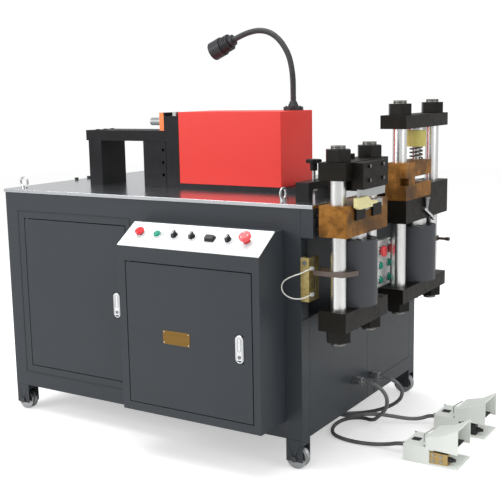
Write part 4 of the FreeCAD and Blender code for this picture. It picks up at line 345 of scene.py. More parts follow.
def powder_coat(name, slot, color, gloss=0.42, peel=0.00012, drift=0.08):
    """Baked powder: fine peel, faint clouds, small changes of gloss."""
    finish = Finish(name, slot, color, gloss, Specular_IOR_Level=0.3)
    clouds = finish.noise(5.0, 4.0)
    finish.drive("Base Color", finish.shades(clouds, scaled(color, 1 - drift), scaled(color, 1 + drift)))
    finish.drive("Roughness", gloss - 0.05 + finish.noise(14.0, 3.0) * 0.1)
    finish.bump(finish.noise(420.0, 2.0), peel)
    return finish


cabinet_coat = powder_coat("cabinet_coat", "cabinet_paint", tone(54, 58, 63))
panel_coat = powder_coat("panel_coat", "panel_paint", tone(236, 238, 238), 0.32, 0.00006, 0.02)
cover_coat = powder_coat("cover_coat", "red_paint", tone(218, 52, 44), 0.38, 0.00008, 0.04)
tank_coat = powder_coat("tank_coat", "tank_paint", tone(96, 112, 122), 0.45)
cylinder_coat = powder_coat("cylinder_coat", "press_paint", tone(66, 68, 73), 0.45)
lamp_coat = powder_coat("lamp_coat", "black_paint", tone(46, 46, 49), 0.4)
# Painted highlight: the lamp's coiled neck wears a lighter copy of the lamp's black paint, standing for the
# light along its thin turns.
neck_coat = powder_coat("neck_coat", "black_paint", tone(72, 72, 74), 0.32)
# Painted light: the button station wears a brighter copy of the white panel paint, against the shadow that
# the cylinder casts on it.
station_coat = powder_coat("station_coat", "panel_paint", tone(246, 249, 247), 0.4, 0.00008, 0.02)
print("coats", Finish.made[2:])

# %% [markdown]
# The pedals are cast and sprayed with a pale hammer finish, whose paint dries in shallow dents. Noise
# would look like dust, so smooth Voronoi cells make the dents.

# %% Hammer finish
pedal_coat = Finish("pedal_coat", "pedal_paint", tone(224, 229, 222), 0.5)
dents = pedal_coat.node("ShaderNodeTexVoronoi", {"feature": "SMOOTH_F1"}, {
    "Vector": pedal_coat.place(), "Scale": 260.0, "Smoothness": 0.6})
pedal_coat.drive("Base Color", pedal_coat.shades(
    pedal_coat.noise(12.0, 5.0), tone(234, 239, 232), tone(249, 252, 247)))
pedal_coat.drive("Roughness", 0.42 + pedal_coat.noise(30.0) * 0.16)
pedal_coat.bump(dents, 0.0003)
print("pedals wear", pedal_coat.material.name)

# %% [markdown]
# The press plates are blackened steel wiped with oil, and one dark colour would look like plastic. Oil
# shows as clouds of gloss, so noise drives both the colour and the roughness, and stretched noise adds
# the marks of the tool. Their shine is turned down, because an oxide mirrors less than a paint.

# %% Blackened press parts


def oiled_steel(name, slot, color, metallic=0.35, gloss=0.42):
    """Blackened or browned steel with oil clouds and fine tool marks."""
    finish = Finish(name, slot, color, gloss, metallic, Specular_IOR_Level=0.16)
    clouds = finish.noise(22.0, 6.0, roughness=0.62)
    finish.drive("Base Color", finish.shades(clouds ** 1.4, scaled(color, 0.6), scaled(color, 1.5)))
    finish.drive("Roughness", gloss - 0.12 + finish.noise(45.0, 4.0) * 0.28)
    marks = finish.noise(60.0, 3.0, stretch=(0.15, 1, 12))
    finish.bump(marks, 0.00012)
    return finish


plate_black = oiled_steel("plate_black", "press_paint", tone(30, 27, 23))
bracket_black = oiled_steel("bracket_black", "black_paint", tone(34, 34, 34), 0.2)
bender_black = oiled_steel("bender_black", "ground_steel", tone(30, 30, 32), 0.3)
thread_black = oiled_steel("thread_black", "press_paint", tone(38, 37, 36), 0.5, 0.36)
wheel_core = oiled_steel("wheel_core", "wheel_iron", tone(84, 84, 86), 0.6, 0.45)
print("finishes so far", len(Finish.made))

# %% [markdown]
# The blocks that hold blade and die are browned, patch by patch. Two colours aren't enough for that, so
# a ramp leads one cloudy noise through four browns, and fine specks are laid over them.

# %% Browned blocks
block_brown = Finish("block_brown", "brown_paint", tone(128, 88, 46), 0.42, 0.4,
                     Specular_IOR_Level=0.16)
patches = block_brown.noise(13.0, 7.0, roughness=0.66)
specks = block_brown.noise(160.0, 3.0) > 0.63
browned = block_brown.node("ShaderNodeValToRGB", {"stops": [
    (0.28, tone(70, 48, 22)), (0.46, tone(108, 72, 31)), (0.6, tone(150, 102, 45)),
    (0.76, tone(182, 132, 68))]}, {"Fac": patches})
block_brown.drive("Base Color", block_brown.over(specks * 0.5, browned, tone(74, 50, 32)))
block_brown.drive("Roughness", 0.3 + patches * 0.3)
block_brown.bump(block_brown.noise(70.0, 4.0, stretch=(0.2, 1, 8)), 0.00015)
print("blocks wear", block_brown.material.name)

# %% [markdown]
# Bright metal is told by its grain. The table is ground lengthways, the columns are drawn and chromed,
# the blades are ground across. An anisotropic shader could stretch the highlight, but it shows no
# scratches near by, so the noise itself is stretched along the grain.

# %% Ground, drawn and plated metal


def ground_metal(name, slot, color, stretch, gloss=0.2, depth=0.00004, drift=0.14):
    """Bright metal with a grain that runs along the axis whose stretch is least."""
    finish = Finish(name, slot, color, gloss, 1.0)
    grain = finish.noise(90.0, 5.0, stretch=stretch, roughness=0.7)
    clouds = finish.noise(6.0, 4.0)
    finish.drive("Base Color", finish.shades(grain, scaled(color, 1 - drift), scaled(color, 1 + drift / 2)))
    finish.drive("Roughness", gloss - 0.05 + grain * 0.08 + clouds * 0.1)
    finish.bump(grain, depth)
    return finish


table_steel = ground_metal("table_steel", "table_steel", tone(226, 228, 232), (0.03, 4, 4), 0.16,
                           0.00001, 0.06)
edge_steel = ground_metal("edge_steel", "table_steel", tone(150, 151, 152), (0.03, 4, 4), 0.35)
chrome_rod = ground_metal("chrome_rod", "chrome", tone(242, 242, 241), (6, 6, 0.3), 0.24, 0.000006, 0.05)
chrome_cast = ground_metal("chrome_cast", "chrome", tone(222, 223, 226), (1, 1, 1), 0.14, 0.00001, 0.05)
tool_steel = ground_metal("tool_steel", "tool_steel", tone(196, 196, 196), (1, 6, 0.3), 0.24)
blade_steel = ground_metal("blade_steel", "tool_steel", tone(206, 208, 208), (1, 0.2, 6), 0.28)
jaw_steel = ground_metal("jaw_steel", "ground_steel", tone(122, 122, 124), (0.2, 1, 6), 0.36)
wheel_metal = ground_metal("wheel_metal", "wheel_iron", tone(176, 178, 180), (5, 0.3, 5), 0.3)
spring_wire = ground_metal("spring_wire", "spring_steel", tone(110, 104, 98), (3, 3, 3), 0.34)
bolt_zinc = ground_metal("bolt_zinc", "zinc_plate", tone(190, 190, 186), (2, 2, 2), 0.3)
copper = ground_metal("copper", "ground_steel", tone(196, 112, 72), (1, 4, 0.3), 0.32)
gland_metal = ground_metal("gland_metal", "zinc_plate", tone(150, 152, 152), (3, 3, 3), 0.34)
strap_metal = ground_metal("strap_metal", "chrome", tone(122, 110, 104), (2, 2, 2), 0.4, drift=0.35)
brass_head = ground_metal("brass_head", "zinc_plate", tone(206, 176, 120), (2, 2, 2), 0.3)
print("finishes so far", len(Finish.made))

# %% [markdown]
# The columns end in threads. A cut thread would cost thousands of faces for a few pixels, so bands of a
# wave along the column give its turns their relief, and their colour is painted shade in the grooves and
# painted highlight on the crests.

# %% Threads
thread_steel = Finish("thread_steel", "chrome", tone(126, 124, 122), 0.4, 1.0)
turns = thread_steel.node("ShaderNodeTexWave", {"bands_direction": "Z"}, {
    "Vector": thread_steel.place(), "Scale": 52.0}, out="Fac")
# Dark and light bands: painted shade in the grooves, painted highlight on the crests.
thread_steel.drive("Base Color", thread_steel.shades(turns, tone(84, 82, 80), tone(158, 156, 152)))
thread_steel.drive("Roughness", 0.34 + thread_steel.noise(60.0, 3.0) * 0.2)
thread_steel.bump(turns, 0.0006)
print("threads wear", thread_steel.material.name)

# %% [markdown]
# The sensor bracket is zinc plated and passivated yellow, which blooms in clouds from straw to grey. The
# plate on the box's door is brushed brass: noise stretched twenty times along the brush.

# %% Yellow zinc and brass
yellow_zinc = Finish("yellow_zinc", "zinc_plate", tone(196, 172, 112), 0.34, 0.85)
bloom = yellow_zinc.noise(38.0, 5.0, roughness=0.6)
yellow_zinc.drive("Base Color", yellow_zinc.node("ShaderNodeValToRGB", {"stops": [
    (0.3, tone(172, 144, 90)), (0.5, tone(212, 190, 124)), (0.68, tone(226, 214, 166)),
    (0.8, tone(186, 176, 160))]}, {"Fac": bloom}))
yellow_zinc.drive("Roughness", 0.26 + bloom * 0.2)
yellow_zinc.bump(yellow_zinc.noise(300.0), 0.00005)

plate_brass = Finish("plate_brass", "zinc_plate", tone(128, 96, 42), 0.36, 0.8)
brushing = plate_brass.noise(120.0, 4.0, stretch=(0.05, 1, 5))
plate_brass.drive("Base Color", plate_brass.shades(brushing, tone(104, 78, 36), tone(150, 116, 56)))
plate_brass.drive("Roughness", 0.3 + brushing * 0.2)
plate_brass.bump(brushing, 0.00004)
print("plated finishes", yellow_zinc.material.name, plate_brass.material.name)

# %% [markdown]
# Buttons, knobs, treadles and switch cases are moulded. A mould leaves a fine grain, and handling leaves
# a slight bloom. The red plastic and the urethane ring let a little light in, as the real ones do.

# %% Plastics and rubbers


def moulding(name, slot, color, gloss, grain=0.00004, **more):
    """Moulded plastic or rubber: a fine grain and a slight bloom."""
    finish = Finish(name, slot, color, gloss, **more)
    bloom = finish.noise(40.0, 4.0)
    finish.drive("Base Color", finish.shades(bloom, scaled(color, 0.9), scaled(color, 1.1)))
    finish.drive("Roughness", gloss - 0.06 + bloom * 0.12)
    finish.bump(finish.noise(1100.0, 2.0), grain)
    return finish


red_plastic = moulding("red_plastic", "red_plastic", tone(224, 46, 54), 0.26, Subsurface_Weight=0.05)
# Painted sheen: the stop knob and the station's red knobs wear a paler copy of the red plastic, standing for
# the pale highlight on their domes.
knob_red = moulding("knob_red", "red_plastic", tone(238, 84, 90), 0.3, Subsurface_Weight=0.05)
green_plastic = moulding("green_plastic", "green_plastic", tone(36, 154, 126), 0.26)
black_plastic = moulding("black_plastic", "black_plastic", tone(34, 34, 36), 0.4)
grey_plastic = moulding("grey_plastic", "gear_plastic", tone(186, 188, 186), 0.45)
tread_black = moulding("tread_black", "tread_rubber", tone(46, 46, 48), 0.7, 0.0002)
pad_cream = moulding("pad_cream", "brown_paint", tone(224, 214, 158), 0.5, 0.0001)
urethane = moulding("urethane", "urethane", tone(196, 184, 98), 0.4, 0.0001, Subsurface_Weight=0.1)
# Painted shade: a near-black slab laid in keyways, seams, louvre mouths, cowl slots and windows stands for
# the dark inside a hollow that isn't cut.
dark_recess = moulding("dark_recess", "black_plastic", tone(18, 18, 19), 0.6)
white_mark = moulding("white_mark", "panel_paint", tone(236, 236, 232), 0.45)
print("finishes", len(Finish.made))

# %% [markdown]
# ## Dressing a solid
# A CAD mesh has razor edges, and no real edge is razor sharp: it catches light as a thin line. A node
# lists its solids one after another, and a solid is complete once each edge of its triangles has met
# the same edge run the other way. So each solid is welded by itself, flat faces are joined, it gets its
# own finish, and a Bevel modifier rounds what is left. The copy replaces the node.

# %% Shells of a node
BODY_OF = {node: body for body, nodes in frame["record"]["behaviour"]["bodies"].items() for node in nodes}


class Spot:
    """The box of some places, in the frame's millimetres."""

    def __init__(self, places):
        self.low = [min(place[i] for place in places) / MM for i in range(3)]
        self.high = [max(place[i] for place in places) / MM for i in range(3)]
        self.middle = [(a + b) / 2 for a, b in zip(self.low, self.high)]
        self.size = [b - a for a, b in zip(self.low, self.high)]


@cache
def shells_of(node):
    """The triangles of each closed solid of the node in turn, as rings of places."""
    mesh = NODES[node].data
    places = [tuple(round(v, 6) for v in vert.co) for vert in mesh.vertices]
    shells, shell, unmet = [], [], Counter()
    for polygon in mesh.polygons:
        ring = [places[index] for index in polygon.vertices]
        shell.append(ring)
        for start, end in zip(ring, ring[1:] + ring[:1]):
            if start == end:
                continue
            if unmet[end, start]:
                unmet[end, start] -= 1
            else:
                unmet[start, end] += 1
        if not +unmet:
            shells.append(shell)
            shell = []
    return shells + [shell] if shell else shells


def spots(node):
    """The boxes of the node's solids, in the order in which the node lists them."""
    return [Spot([place for ring in shell for place in ring]) for shell in shells_of(node)]


print("solids of the cabinet's frame", len(spots("cabinet_frame")))

# %% [markdown]
# Every edge of the machine is broken, the sheet's by its bend and the plates' by a file. The bevel could
# be modelled, but the modifier does it wherever faces meet sharply, and hardened normals keep the flat
# faces flat to the eye.

# %% Soft edges, and what a piece rides on
SHARP_EDGE = radians(34)
EDGE_SEGMENTS = 2


def link(name, mesh):
    made = bpy.data.objects.new(name, mesh)
    bpy.context.scene.collection.objects.link(made)
    return made


def round_edges(piece, width):
    """Soft edges whose flat faces stay flat to the eye."""
    piece.data.shade_smooth()
    piece.data.set_sharp_from_angle(angle=SHARP_EDGE)
    if width:
        bevel = piece.modifiers.new("edges", "BEVEL")
        bevel.width = width * MM
        bevel.segments = EDGE_SEGMENTS
        bevel.limit_method = "ANGLE"
        bevel.angle_limit = SHARP_EDGE
        bevel.harden_normals = True
    return piece


def claim(piece, body, slot, *nodes):
    """The piece rides on the body and stands for the nodes; the slot is not used."""
    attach(piece, body)
    if nodes:
        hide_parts(*nodes)
    return piece


print("faces meet sharply from", round(SHARP_EDGE / pi * 180), "degrees")

# %% [markdown]
# The dresser reads a list of rules: a finish, and a test on a solid's box. The solids have no names of
# their own, but each is known by its size or its place, so the first test that it passes decides its
# finish. A zone paints part of one solid, such as the threaded end of a rod.

# %% The dresser
FLAT_FACE = radians(0.6)
SAME_LEVEL = 0.05


def dress(node, rules, width=0.8, keep=None, zones=()):
    """A copy of the node with rounded edges, each solid in the first finish whose test it meets.

    A zone repaints the faces whose middle passes its test, within one solid.
    """
    bm = bmesh.new()
    finishes = [rules[-1][0]]
    for shell in shells_of(node):
        spot = Spot([place for ring in shell for place in ring])
        if keep and not keep(spot):
            continue
        finish = next(f for f, test in rules if test is None or test(spot))
        if finish not in finishes:
            finishes.append(finish)
        corners = {place: bm.verts.new(place) for place in {p for ring in shell for p in ring}}
        for ring in shell:
            if len(set(ring)) == len(ring):
                face = bm.faces.new([corners[place] for place in ring])
                face.material_index = finishes.index(finish)
    bmesh.ops.dissolve_limit(bm, angle_limit=FLAT_FACE, verts=bm.verts, edges=bm.edges,
                             delimit={"MATERIAL"})
    for finish, test in zones:
        if finish not in finishes:
            finishes.append(finish)
        for face in bm.faces:
            if test(Spot([vert.co for vert in face.verts])):
                face.material_index = finishes.index(finish)
    mesh = bpy.data.meshes.new(node + "_look")
    bm.to_mesh(mesh)
    bm.free()
    for finish in finishes:
        mesh.materials.append(finish.material)
    piece = round_edges(link(node + "_look", mesh), width)
    return claim(piece, BODY_OF[node], finishes[0].slot, node)


def crown(node, way):
    """The middle of the node's furthest face along the way, in the frame's millimetres."""
    places = [vert.co / MM for vert in NODES[node].data.vertices]
    furthest = max(place.dot(Vector(way)) for place in places)
    top = Spot([place * MM for place in places if place.dot(Vector(way)) > furthest - SAME_LEVEL])
    return Vector(top.middle)


print("nodes still bare", sum(not node.hide_render for node in NODES.values()))

# %% [markdown]
# ## Small forms, and trees that set them out
# A small form is a skin laid over rings of places, as a boat's planks are over its frames. A ring may be
# a single place, which closes the form in a point, and the last ring may join the first for a frame with
# a window. Ready-made cylinders and cubes have no lips or chamfers, so the rings are drawn here.

# %% Lofting


def lofted(name, rings, loop=False):
    """A closed form through rings of places, kept out of the scene; a ring may be a single place."""
    bm = bmesh.new()
    made = [[bm.verts.new(Vector(place) * MM) for place in ring] for ring in rings]
    for lower, upper in list(zip(made, made[1:])) + ([(made[-1], made[0])] if loop else []):
        count = max(len(lower), len(upper))
        for step in range(count):
            after = (step + 1) % count
            around = [lower[step % len(lower)], lower[after % len(lower)],
                      upper[after % len(upper)], upper[step % len(upper)]]
            bm.faces.new(list(dict.fromkeys(around)))
    for cap in (made[0], made[-1]):
        if len(cap) > 2 and not loop:
            bm.faces.new(cap)
    bmesh.ops.recalc_face_normals(bm, faces=bm.faces)
    mesh = bpy.data.meshes.new(name)
    bm.to_mesh(mesh)
    bm.free()
    mesh.shade_smooth()
    mesh.set_sharp_from_angle(angle=SHARP_EDGE)
    return bpy.data.objects.new(name, mesh)


def oblong(width, length, height, corner, shift=0.0, steps=6):
    """A ring of places round a rectangle with rounded corners, shifted along Y."""
    ring = []
    for quarter, (side, end) in enumerate(((1, 1), (-1, 1), (-1, -1), (1, -1))):
        for step in range(steps + 1):
            angle = (quarter + step / steps) * pi / 2
            ring.append((side * (width / 2 - corner) + corner * cos(angle),
                         end * (length / 2 - corner) + corner * sin(angle) + shift, height))
    return ring


print("places in a rounded oblong", len(oblong(10, 6, 0, 1)))

# %% [markdown]
# Screws, nuts, hubs and rivets are turned: half a section spun round an axis. A ring with flats, such as
# a hexagon, is the same spin with its reach stretched between the flats, so a socket or a nut needs no
# cutting.

# %% Turned forms


def turned(name, profile, steps=36):
    """A form spun round Z from rings of (radius, height) or, with flats, (radius, height, flats)."""
    rings = []
    for radius, height, *flats in profile:
        ring = []
        for step in range(steps if radius else 1):
            angle = tau * step / steps
            part = tau / flats[0] if flats else 0.0
            reach = radius / cos((angle + part / 2) % part - part / 2) if flats else radius
            ring.append((reach * cos(angle), reach * sin(angle), height))
        rings.append(ring)
    return lofted(name, rings)


def socket_screw(name, radius, height):
    """A cap screw with a hexagon recess."""
    deep = height * 0.45
    return turned(name, [(0, deep), (radius * 0.5, deep, 6), (radius * 0.5, height, 6),
                         (radius * 0.9, height), (radius, height * 0.85), (radius, 0), (0, 0)])


def hex_bolt(name, radius, height):
    """A hexagon head on its washer."""
    washer = height * 0.22
    return turned(name, [(0, 0), (radius * 1.35, 0), (radius * 1.35, washer), (radius, washer, 6),
                         (radius, height * 0.9, 6), (radius * 0.92, height), (0, height)])


def rivet(name, radius, height):
    """A low domed head."""
    return turned(name, [(0, 0), (radius, 0), (radius * 0.9, height * 0.5), (radius * 0.55, height * 0.88),
                         (0, height)], steps=20)


print("turned forms", [form.__name__ for form in (socket_screw, hex_bolt, rivet)])

# %% [markdown]
# Plates, marks and ribs are slabs with rounded corners and a chamfered upper edge, and lock rims and seams
# are slabs with a window. Both are a few oblong rings, one above the other.

# %% Slabs and frames


def slab_form(name, width, length, height, corner=0.5, lip=0.25):
    """A plate on the XY plane with rounded corners and a chamfered upper edge."""
    return lofted(name, [oblong(width, length, 0, corner), oblong(width, length, height - lip, corner),
                         oblong(width - 2 * lip, length - 2 * lip, height, corner - lip)])


def frame_form(name, width, length, height, corner, wall, lip=0.4):
    """A slab with a window as far in as its wall is wide."""
    inner = (width - 2 * wall, length - 2 * wall)
    return lofted(name, [
        oblong(width, length, 0, corner), oblong(width, length, height - lip, corner),
        oblong(width - 2 * lip, length - 2 * lip, height, corner - lip),
        oblong(inner[0] + 2 * lip, inner[1] + 2 * lip, height, corner - wall + lip),
        oblong(*inner, height - lip, corner - wall), oblong(*inner, 0, corner - wall)], loop=True)


print("flat forms", [form.__name__ for form in (slab_form, frame_form)])

# %% [markdown]
# What repeats is grown by Geometry Nodes. The frame of every such tree is the same: named inputs, a form
# read from an object, and an end in Realize Instances and Set Material, because an export drops
# instances. The grown mesh is kept as a plain one, so nothing in the scene waits for a modifier to run.

# %% A tree that grows forms


class Growth(Nodes):
    """A Geometry Nodes tree: its sockets, its start, and its last steps."""

    def __init__(self, name, **sockets):
        super().__init__(bpy.data.node_groups.new(name, "GeometryNodeTree"))
        face = self.tree.interface
        for label, kind in {"Start": "Geometry", **sockets, "Finish": "Material"}.items():
            face.new_socket(label, in_out="INPUT", socket_type="NodeSocket" + kind)
        face.new_socket("Grown", in_out="OUTPUT", socket_type="NodeSocketGeometry")

    def given(self, label):
        return self.node("NodeGroupInput", out=label)

    def beside(self, socket, label):
        """Another output of the node that this socket comes from."""
        return Socket(self, socket.socket.node.outputs[label])

    def shape(self, label="Form"):
        return self.node("GeometryNodeObjectInfo", None, {"Object": self.given(label)}, out="Geometry")

    def end(self, instances):
        real = self.node("GeometryNodeRealizeInstances", None, {"Geometry": instances})
        painted = self.node("GeometryNodeSetMaterial", None, {
            "Geometry": real, "Material": self.given("Finish")})
        self.feed(self.tree.nodes.new("NodeGroupOutput").inputs["Grown"], painted)

    def grow(self, name, start, **values):
        """The plain mesh that the tree grows from a start mesh."""
        seed = link(name + "_seed", start or bpy.data.meshes.new(name + "_start"))
        growth = seed.modifiers.new("growth", "NODES")
        growth.node_group = self.tree
        for item in self.tree.interface.items_tree:
            if item.name in values:
                growth[item.identifier] = values[item.name]
        graph = bpy.context.evaluated_depsgraph_get()
        mesh = bpy.data.meshes.new_from_object(seed.evaluated_get(graph), depsgraph=graph)
        mesh.name = name
        bpy.data.objects.remove(seed)
        return link(name, mesh)


print("a growth can", [name for name, value in vars(Growth).items() if callable(value)])

# %% [markdown]
# Three trees cover all that repeats here: a form on points, round a ring, and along a path. They could be
# loops of copied objects, but a tree can be read and changed as one thing. The seed is fixed, so the
# screws' turns are the same each time and still don't line up.

# %% Trees on points, round a ring, along a path
ON_POINTS = Growth("forms on points", Form="Object", Turn="Vector", Spread="Float")
forms = ON_POINTS.node("GeometryNodeInstanceOnPoints", None, {
    "Points": ON_POINTS.given("Start"), "Instance": ON_POINTS.shape(),
    "Rotation": ON_POINTS.node("FunctionNodeEulerToRotation", None, {"Euler": ON_POINTS.given("Turn")})})
chance = ON_POINTS.node("FunctionNodeRandomValue", {"data_type": "FLOAT"}, {"Seed": 5}, out=1)
spun = ON_POINTS.node("ShaderNodeCombineXYZ", None, {"Z": chance * ON_POINTS.given("Spread")})
ON_POINTS.end(ON_POINTS.node("GeometryNodeRotateInstances", None, {
    "Instances": forms, "Rotation": ON_POINTS.node("FunctionNodeEulerToRotation", None, {"Euler": spun}),
    "Local Space": True}))

ROUND_RING = Growth("forms round a ring", Form="Object", Count="Int", Radius="Float", Turn="Vector",
                    Middle="Vector")
circle = ROUND_RING.node("GeometryNodeMeshCircle", None, {
    "Vertices": ROUND_RING.given("Count"), "Radius": ROUND_RING.given("Radius")})
outward = ROUND_RING.node("FunctionNodeAlignRotationToVector", {"axis": "X"}, {
    "Vector": ROUND_RING.node("GeometryNodeInputPosition")})
petals = ROUND_RING.node("GeometryNodeInstanceOnPoints", None, {
    "Points": circle, "Instance": ROUND_RING.shape(), "Rotation": outward})
ROUND_RING.end(ROUND_RING.node("GeometryNodeTransform", None, {
    "Geometry": petals, "Rotation": ROUND_RING.node("FunctionNodeEulerToRotation", None, {
        "Euler": ROUND_RING.given("Turn")}), "Translation": ROUND_RING.given("Middle")}))

ALONG_PATH = Growth("rings along a path", Form="Object", Path="Object", Gap="Float")
beads = ALONG_PATH.node("GeometryNodeCurveToPoints", {"mode": "LENGTH"}, {
    "Curve": ALONG_PATH.shape("Path"), "Length": ALONG_PATH.given("Gap")}, out="Points")
ALONG_PATH.end(ALONG_PATH.node("GeometryNodeInstanceOnPoints", None, {
    "Points": beads, "Instance": ALONG_PATH.shape(), "Rotation": ALONG_PATH.beside(beads, "Rotation")}))
print("trees", [tree.name for tree in bpy.data.node_groups])

# %% [markdown]
# Setting out is what a fitter does with a scriber: which form, where, which way it faces, in what finish
# and on which moving body. Its own Z points along the way.

# %% Setting out


def facing(way):
    """The turn that points a form's own Z along that way."""
    return Vector(way).to_track_quat("Z", "Y").to_euler()


def set_out(name, form, places, way, finish, body="cabinet", spread=0.0):
    """The form on each place of the frame's millimetres, its own Z along the way."""
    points = bpy.data.meshes.new(name + "_points")
    points.from_pydata([Vector(place) * MM for place in places], [], [])
    piece = ON_POINTS.grow(name, points, Form=form, Turn=facing(way), Spread=spread, Finish=finish.material)
    claim(piece, body, finish.slot)


def ring_of(name, form, middle, way, radius, count, finish, body="cabinet"):
    """The form round a ring, its own X outward and the ring's axis along the way."""
    piece = ROUND_RING.grow(name, None, Form=form, Count=count, Radius=radius * MM, Turn=facing(way),
                            Middle=Vector(middle) * MM, Finish=finish.material)
    claim(piece, body, finish.slot)


def beaded(name, form, path, gap, finish, body="cabinet"):
    """The form at every gap along a curve that isn't shown itself."""
    piece = ALONG_PATH.grow(name, None, Form=form, Path=path, Gap=gap * MM, Finish=finish.material)
    claim(piece, body, finish.slot)


print("upright faces", [round(turn, 2) for turn in facing((0, 0, 1))])

# %% [markdown]
# ## The cabinet and its doors
# Frame, panels and doors wear one coat of dark grey powder. The doors are separate sheets, so their
# seams are real gaps and need no painted lines. What stands on the cabinet is dressed with it: the
# ground table, the control box and the bolts, each sorted by where it sits.

# %% Cabinet, table and boxes
ANY = None
FRONT, BACK, LEFT, RIGHT, UP = ((0, -1, 0), (0, 1, 0), (-1, 0, 0), (1, 0, 0), (0, 0, 1))
CORNERS = ("front_left", "front_right", "back_left", "back_right")
dress("cabinet_frame", [(cabinet_coat, ANY)], 1.5)
dress("cabinet_panels", [(cabinet_coat, ANY)], 0.7)
dress("cabinet_front", [(cabinet_coat, ANY)], 0.9)
dress("press_beam", [(edge_steel, lambda s: s.size[2] < 80 and s.size[0] < 20), (cabinet_coat, ANY)], 1.2)
dress("table_top", [(table_steel, ANY)], 0.8)
dress("control_box", [(cabinet_coat, ANY)], 1.2)
dress("power_pack", [(tank_coat, ANY)], 1.5)
dress("lifting_eyes", [(tool_steel, ANY)], 0.0)
dress("fasteners", [(black_plastic, lambda s: s.high[2] > 890),
                    (gland_metal, lambda s: s.low[2] > 160 and s.low[0] > 430 and s.high[2] < 230),
                    (plate_black, lambda s: s.low[0] > 470), (wheel_core, lambda s: s.high[2] < 60),
                    (bolt_zinc, ANY)], 0.6)
for corner in CORNERS:
    dress("wheel_" + corner, [(wheel_metal, ANY)], 1.2)
CABINET = Spot([*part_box("cabinet_front"), *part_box("cabinet_panels")])
print("cabinet", [round(v) for v in CABINET.low], [round(v) for v in CABINET.high])

# %% [markdown]
# Each door has a chromed swing lock: a rim let into the sheet, a paddle that lifts out of it and a key
# barrel in the paddle. The paddle moves, so it is a CAD solid. The rest is thin and could be bump, but a
# rim catches the light at its edge, so rim, barrel, keyway and thumb hollow are forms, each on the body
# that carries it.

# %% Doors and their swing locks
KEY_HEIGHT, BARREL_DEPTH, THUMB_DROP = 11, 1.5, 27
RIM_SIZE = (30, 92, 3.4)
BARREL = turned("key_barrel", [(0, 0), (6.4, 0), (6.4, 1.0), (5.8, BARREL_DEPTH), (0, BARREL_DEPTH)])
KEYWAY = slab_form("keyway", 1.8, 7.4, 0.3, 0.8, 0.1)
THUMB = frame_form("thumb_rim", 13, 46, 0.7, 6.4, 1.3, 0.2)
RIM = frame_form("lock_rim", *RIM_SIZE, 14.8, 4.2, 0.9)
for door in ("left_door", "box_door"):
    dress(door, [(cabinet_coat, ANY)], 1.6, keep=lambda s: s.size[0] > 60)
    dress(door + "_lock", [(chrome_cast, ANY)], 3.2)
    paddle = spots(door + "_lock")[0]
    rim = next(spot for spot in spots(door) if spot.size[0] < 60)
    barrel = (paddle.middle[0], paddle.low[1], paddle.low[2] + KEY_HEIGHT)
    set_out(door + "_rim", RIM, [(rim.middle[0], rim.low[1] + RIM_SIZE[2], rim.middle[2])], FRONT,
            chrome_cast, door)
    set_out(door + "_barrel", BARREL, [barrel], FRONT, gland_metal, door + "_lock")
    # The keyway is a near-black slab: painted shade for its slot.
    set_out(door + "_keyway", KEYWAY, [(barrel[0], barrel[1] - BARREL_DEPTH, barrel[2])], FRONT,
            dark_recess, door + "_lock")
    set_out(door + "_thumb", THUMB, [(paddle.middle[0], paddle.low[1], paddle.high[2] - THUMB_DROP)], FRONT,
            gland_metal, door + "_lock")
    print(door, "lock", [round(v) for v in paddle.size])

# %% [markdown]
# The left sheet is framed by a fine seam with a bead inside it, and the right end has a flat rail near
# its foot. Both could be cut into the solids. They are a millimetre deep, so thin frames laid on the
# sheet read the same and leave the solids plain. The seam's frame is near-black: painted shade for the
# groove.

# %% The seam round the left sheet and the lower rail of the right end
SHEET_MIDDLE, SHEET_SIZE = (-529.5, 482), (555, 643)
for name, inset, lift, wall, finish in (("seam", 0.0, 0.3, 2.0, dark_recess),
                                        ("bead", 2.0, 1.4, 2.6, cabinet_coat)):
    form = frame_form(f"sheet_{name}_form", SHEET_SIZE[0] - 2 * inset, SHEET_SIZE[1] - 2 * inset, lift,
                      wall + 2, wall, lift * 0.4)
    set_out("sheet_" + name, form, [(SHEET_MIDDLE[0], CABINET.low[1], SHEET_MIDDLE[1])], FRONT, finish)
END_RAIL_MIDDLE, END_RAIL_SIZE = (435, 338, 133), (352, 54, 1.6)
set_out("end_rail", slab_form("end_rail_form", *END_RAIL_SIZE, 1.2, 1.0), [END_RAIL_MIDDLE], RIGHT,
        cabinet_coat)
print("left sheet", SHEET_SIZE, "end rail", END_RAIL_SIZE)

# %% [markdown]
# A brass plate is riveted to the box's door. It stays bare here, so its finish does all the work: the
# brushed brass, a chamfered edge and four rivet heads.

# %% The bare brass plate
PLATE_MIDDLE, PLATE_SIZE = (50.5, 439.5), (109, 46, 1.0)
door_face = spots("box_door")[0].low[1]
set_out("bare_plate", slab_form("bare_plate_form", *PLATE_SIZE, 2.5), [
    (PLATE_MIDDLE[0], door_face, PLATE_MIDDLE[1])], FRONT, plate_brass, "box_door")
set_out("plate_rivets", rivet("plate_rivet", 2.4, 1.2), [
    (PLATE_MIDDLE[0] + side * (PLATE_SIZE[0] / 2 - 5), door_face - PLATE_SIZE[2],
     PLATE_MIDDLE[1] + end * (PLATE_SIZE[1] / 2 - 5)) for side in (-1, 1) for end in (-1, 1)],
    FRONT, bolt_zinc, "box_door")
print("plate", PLATE_SIZE, "on the face at", round(door_face, 1))

# %% [markdown]
# The photograph doesn't show the back and the left end. Cabinets of this kind breathe through pressed
# louvres, and their sheets are screwed on. One louvre could be cut and folded; lofting it through four
# rounded rings that lean down gives the same hood in a few faces, and a near-black slit of painted shade
# stands for its mouth.

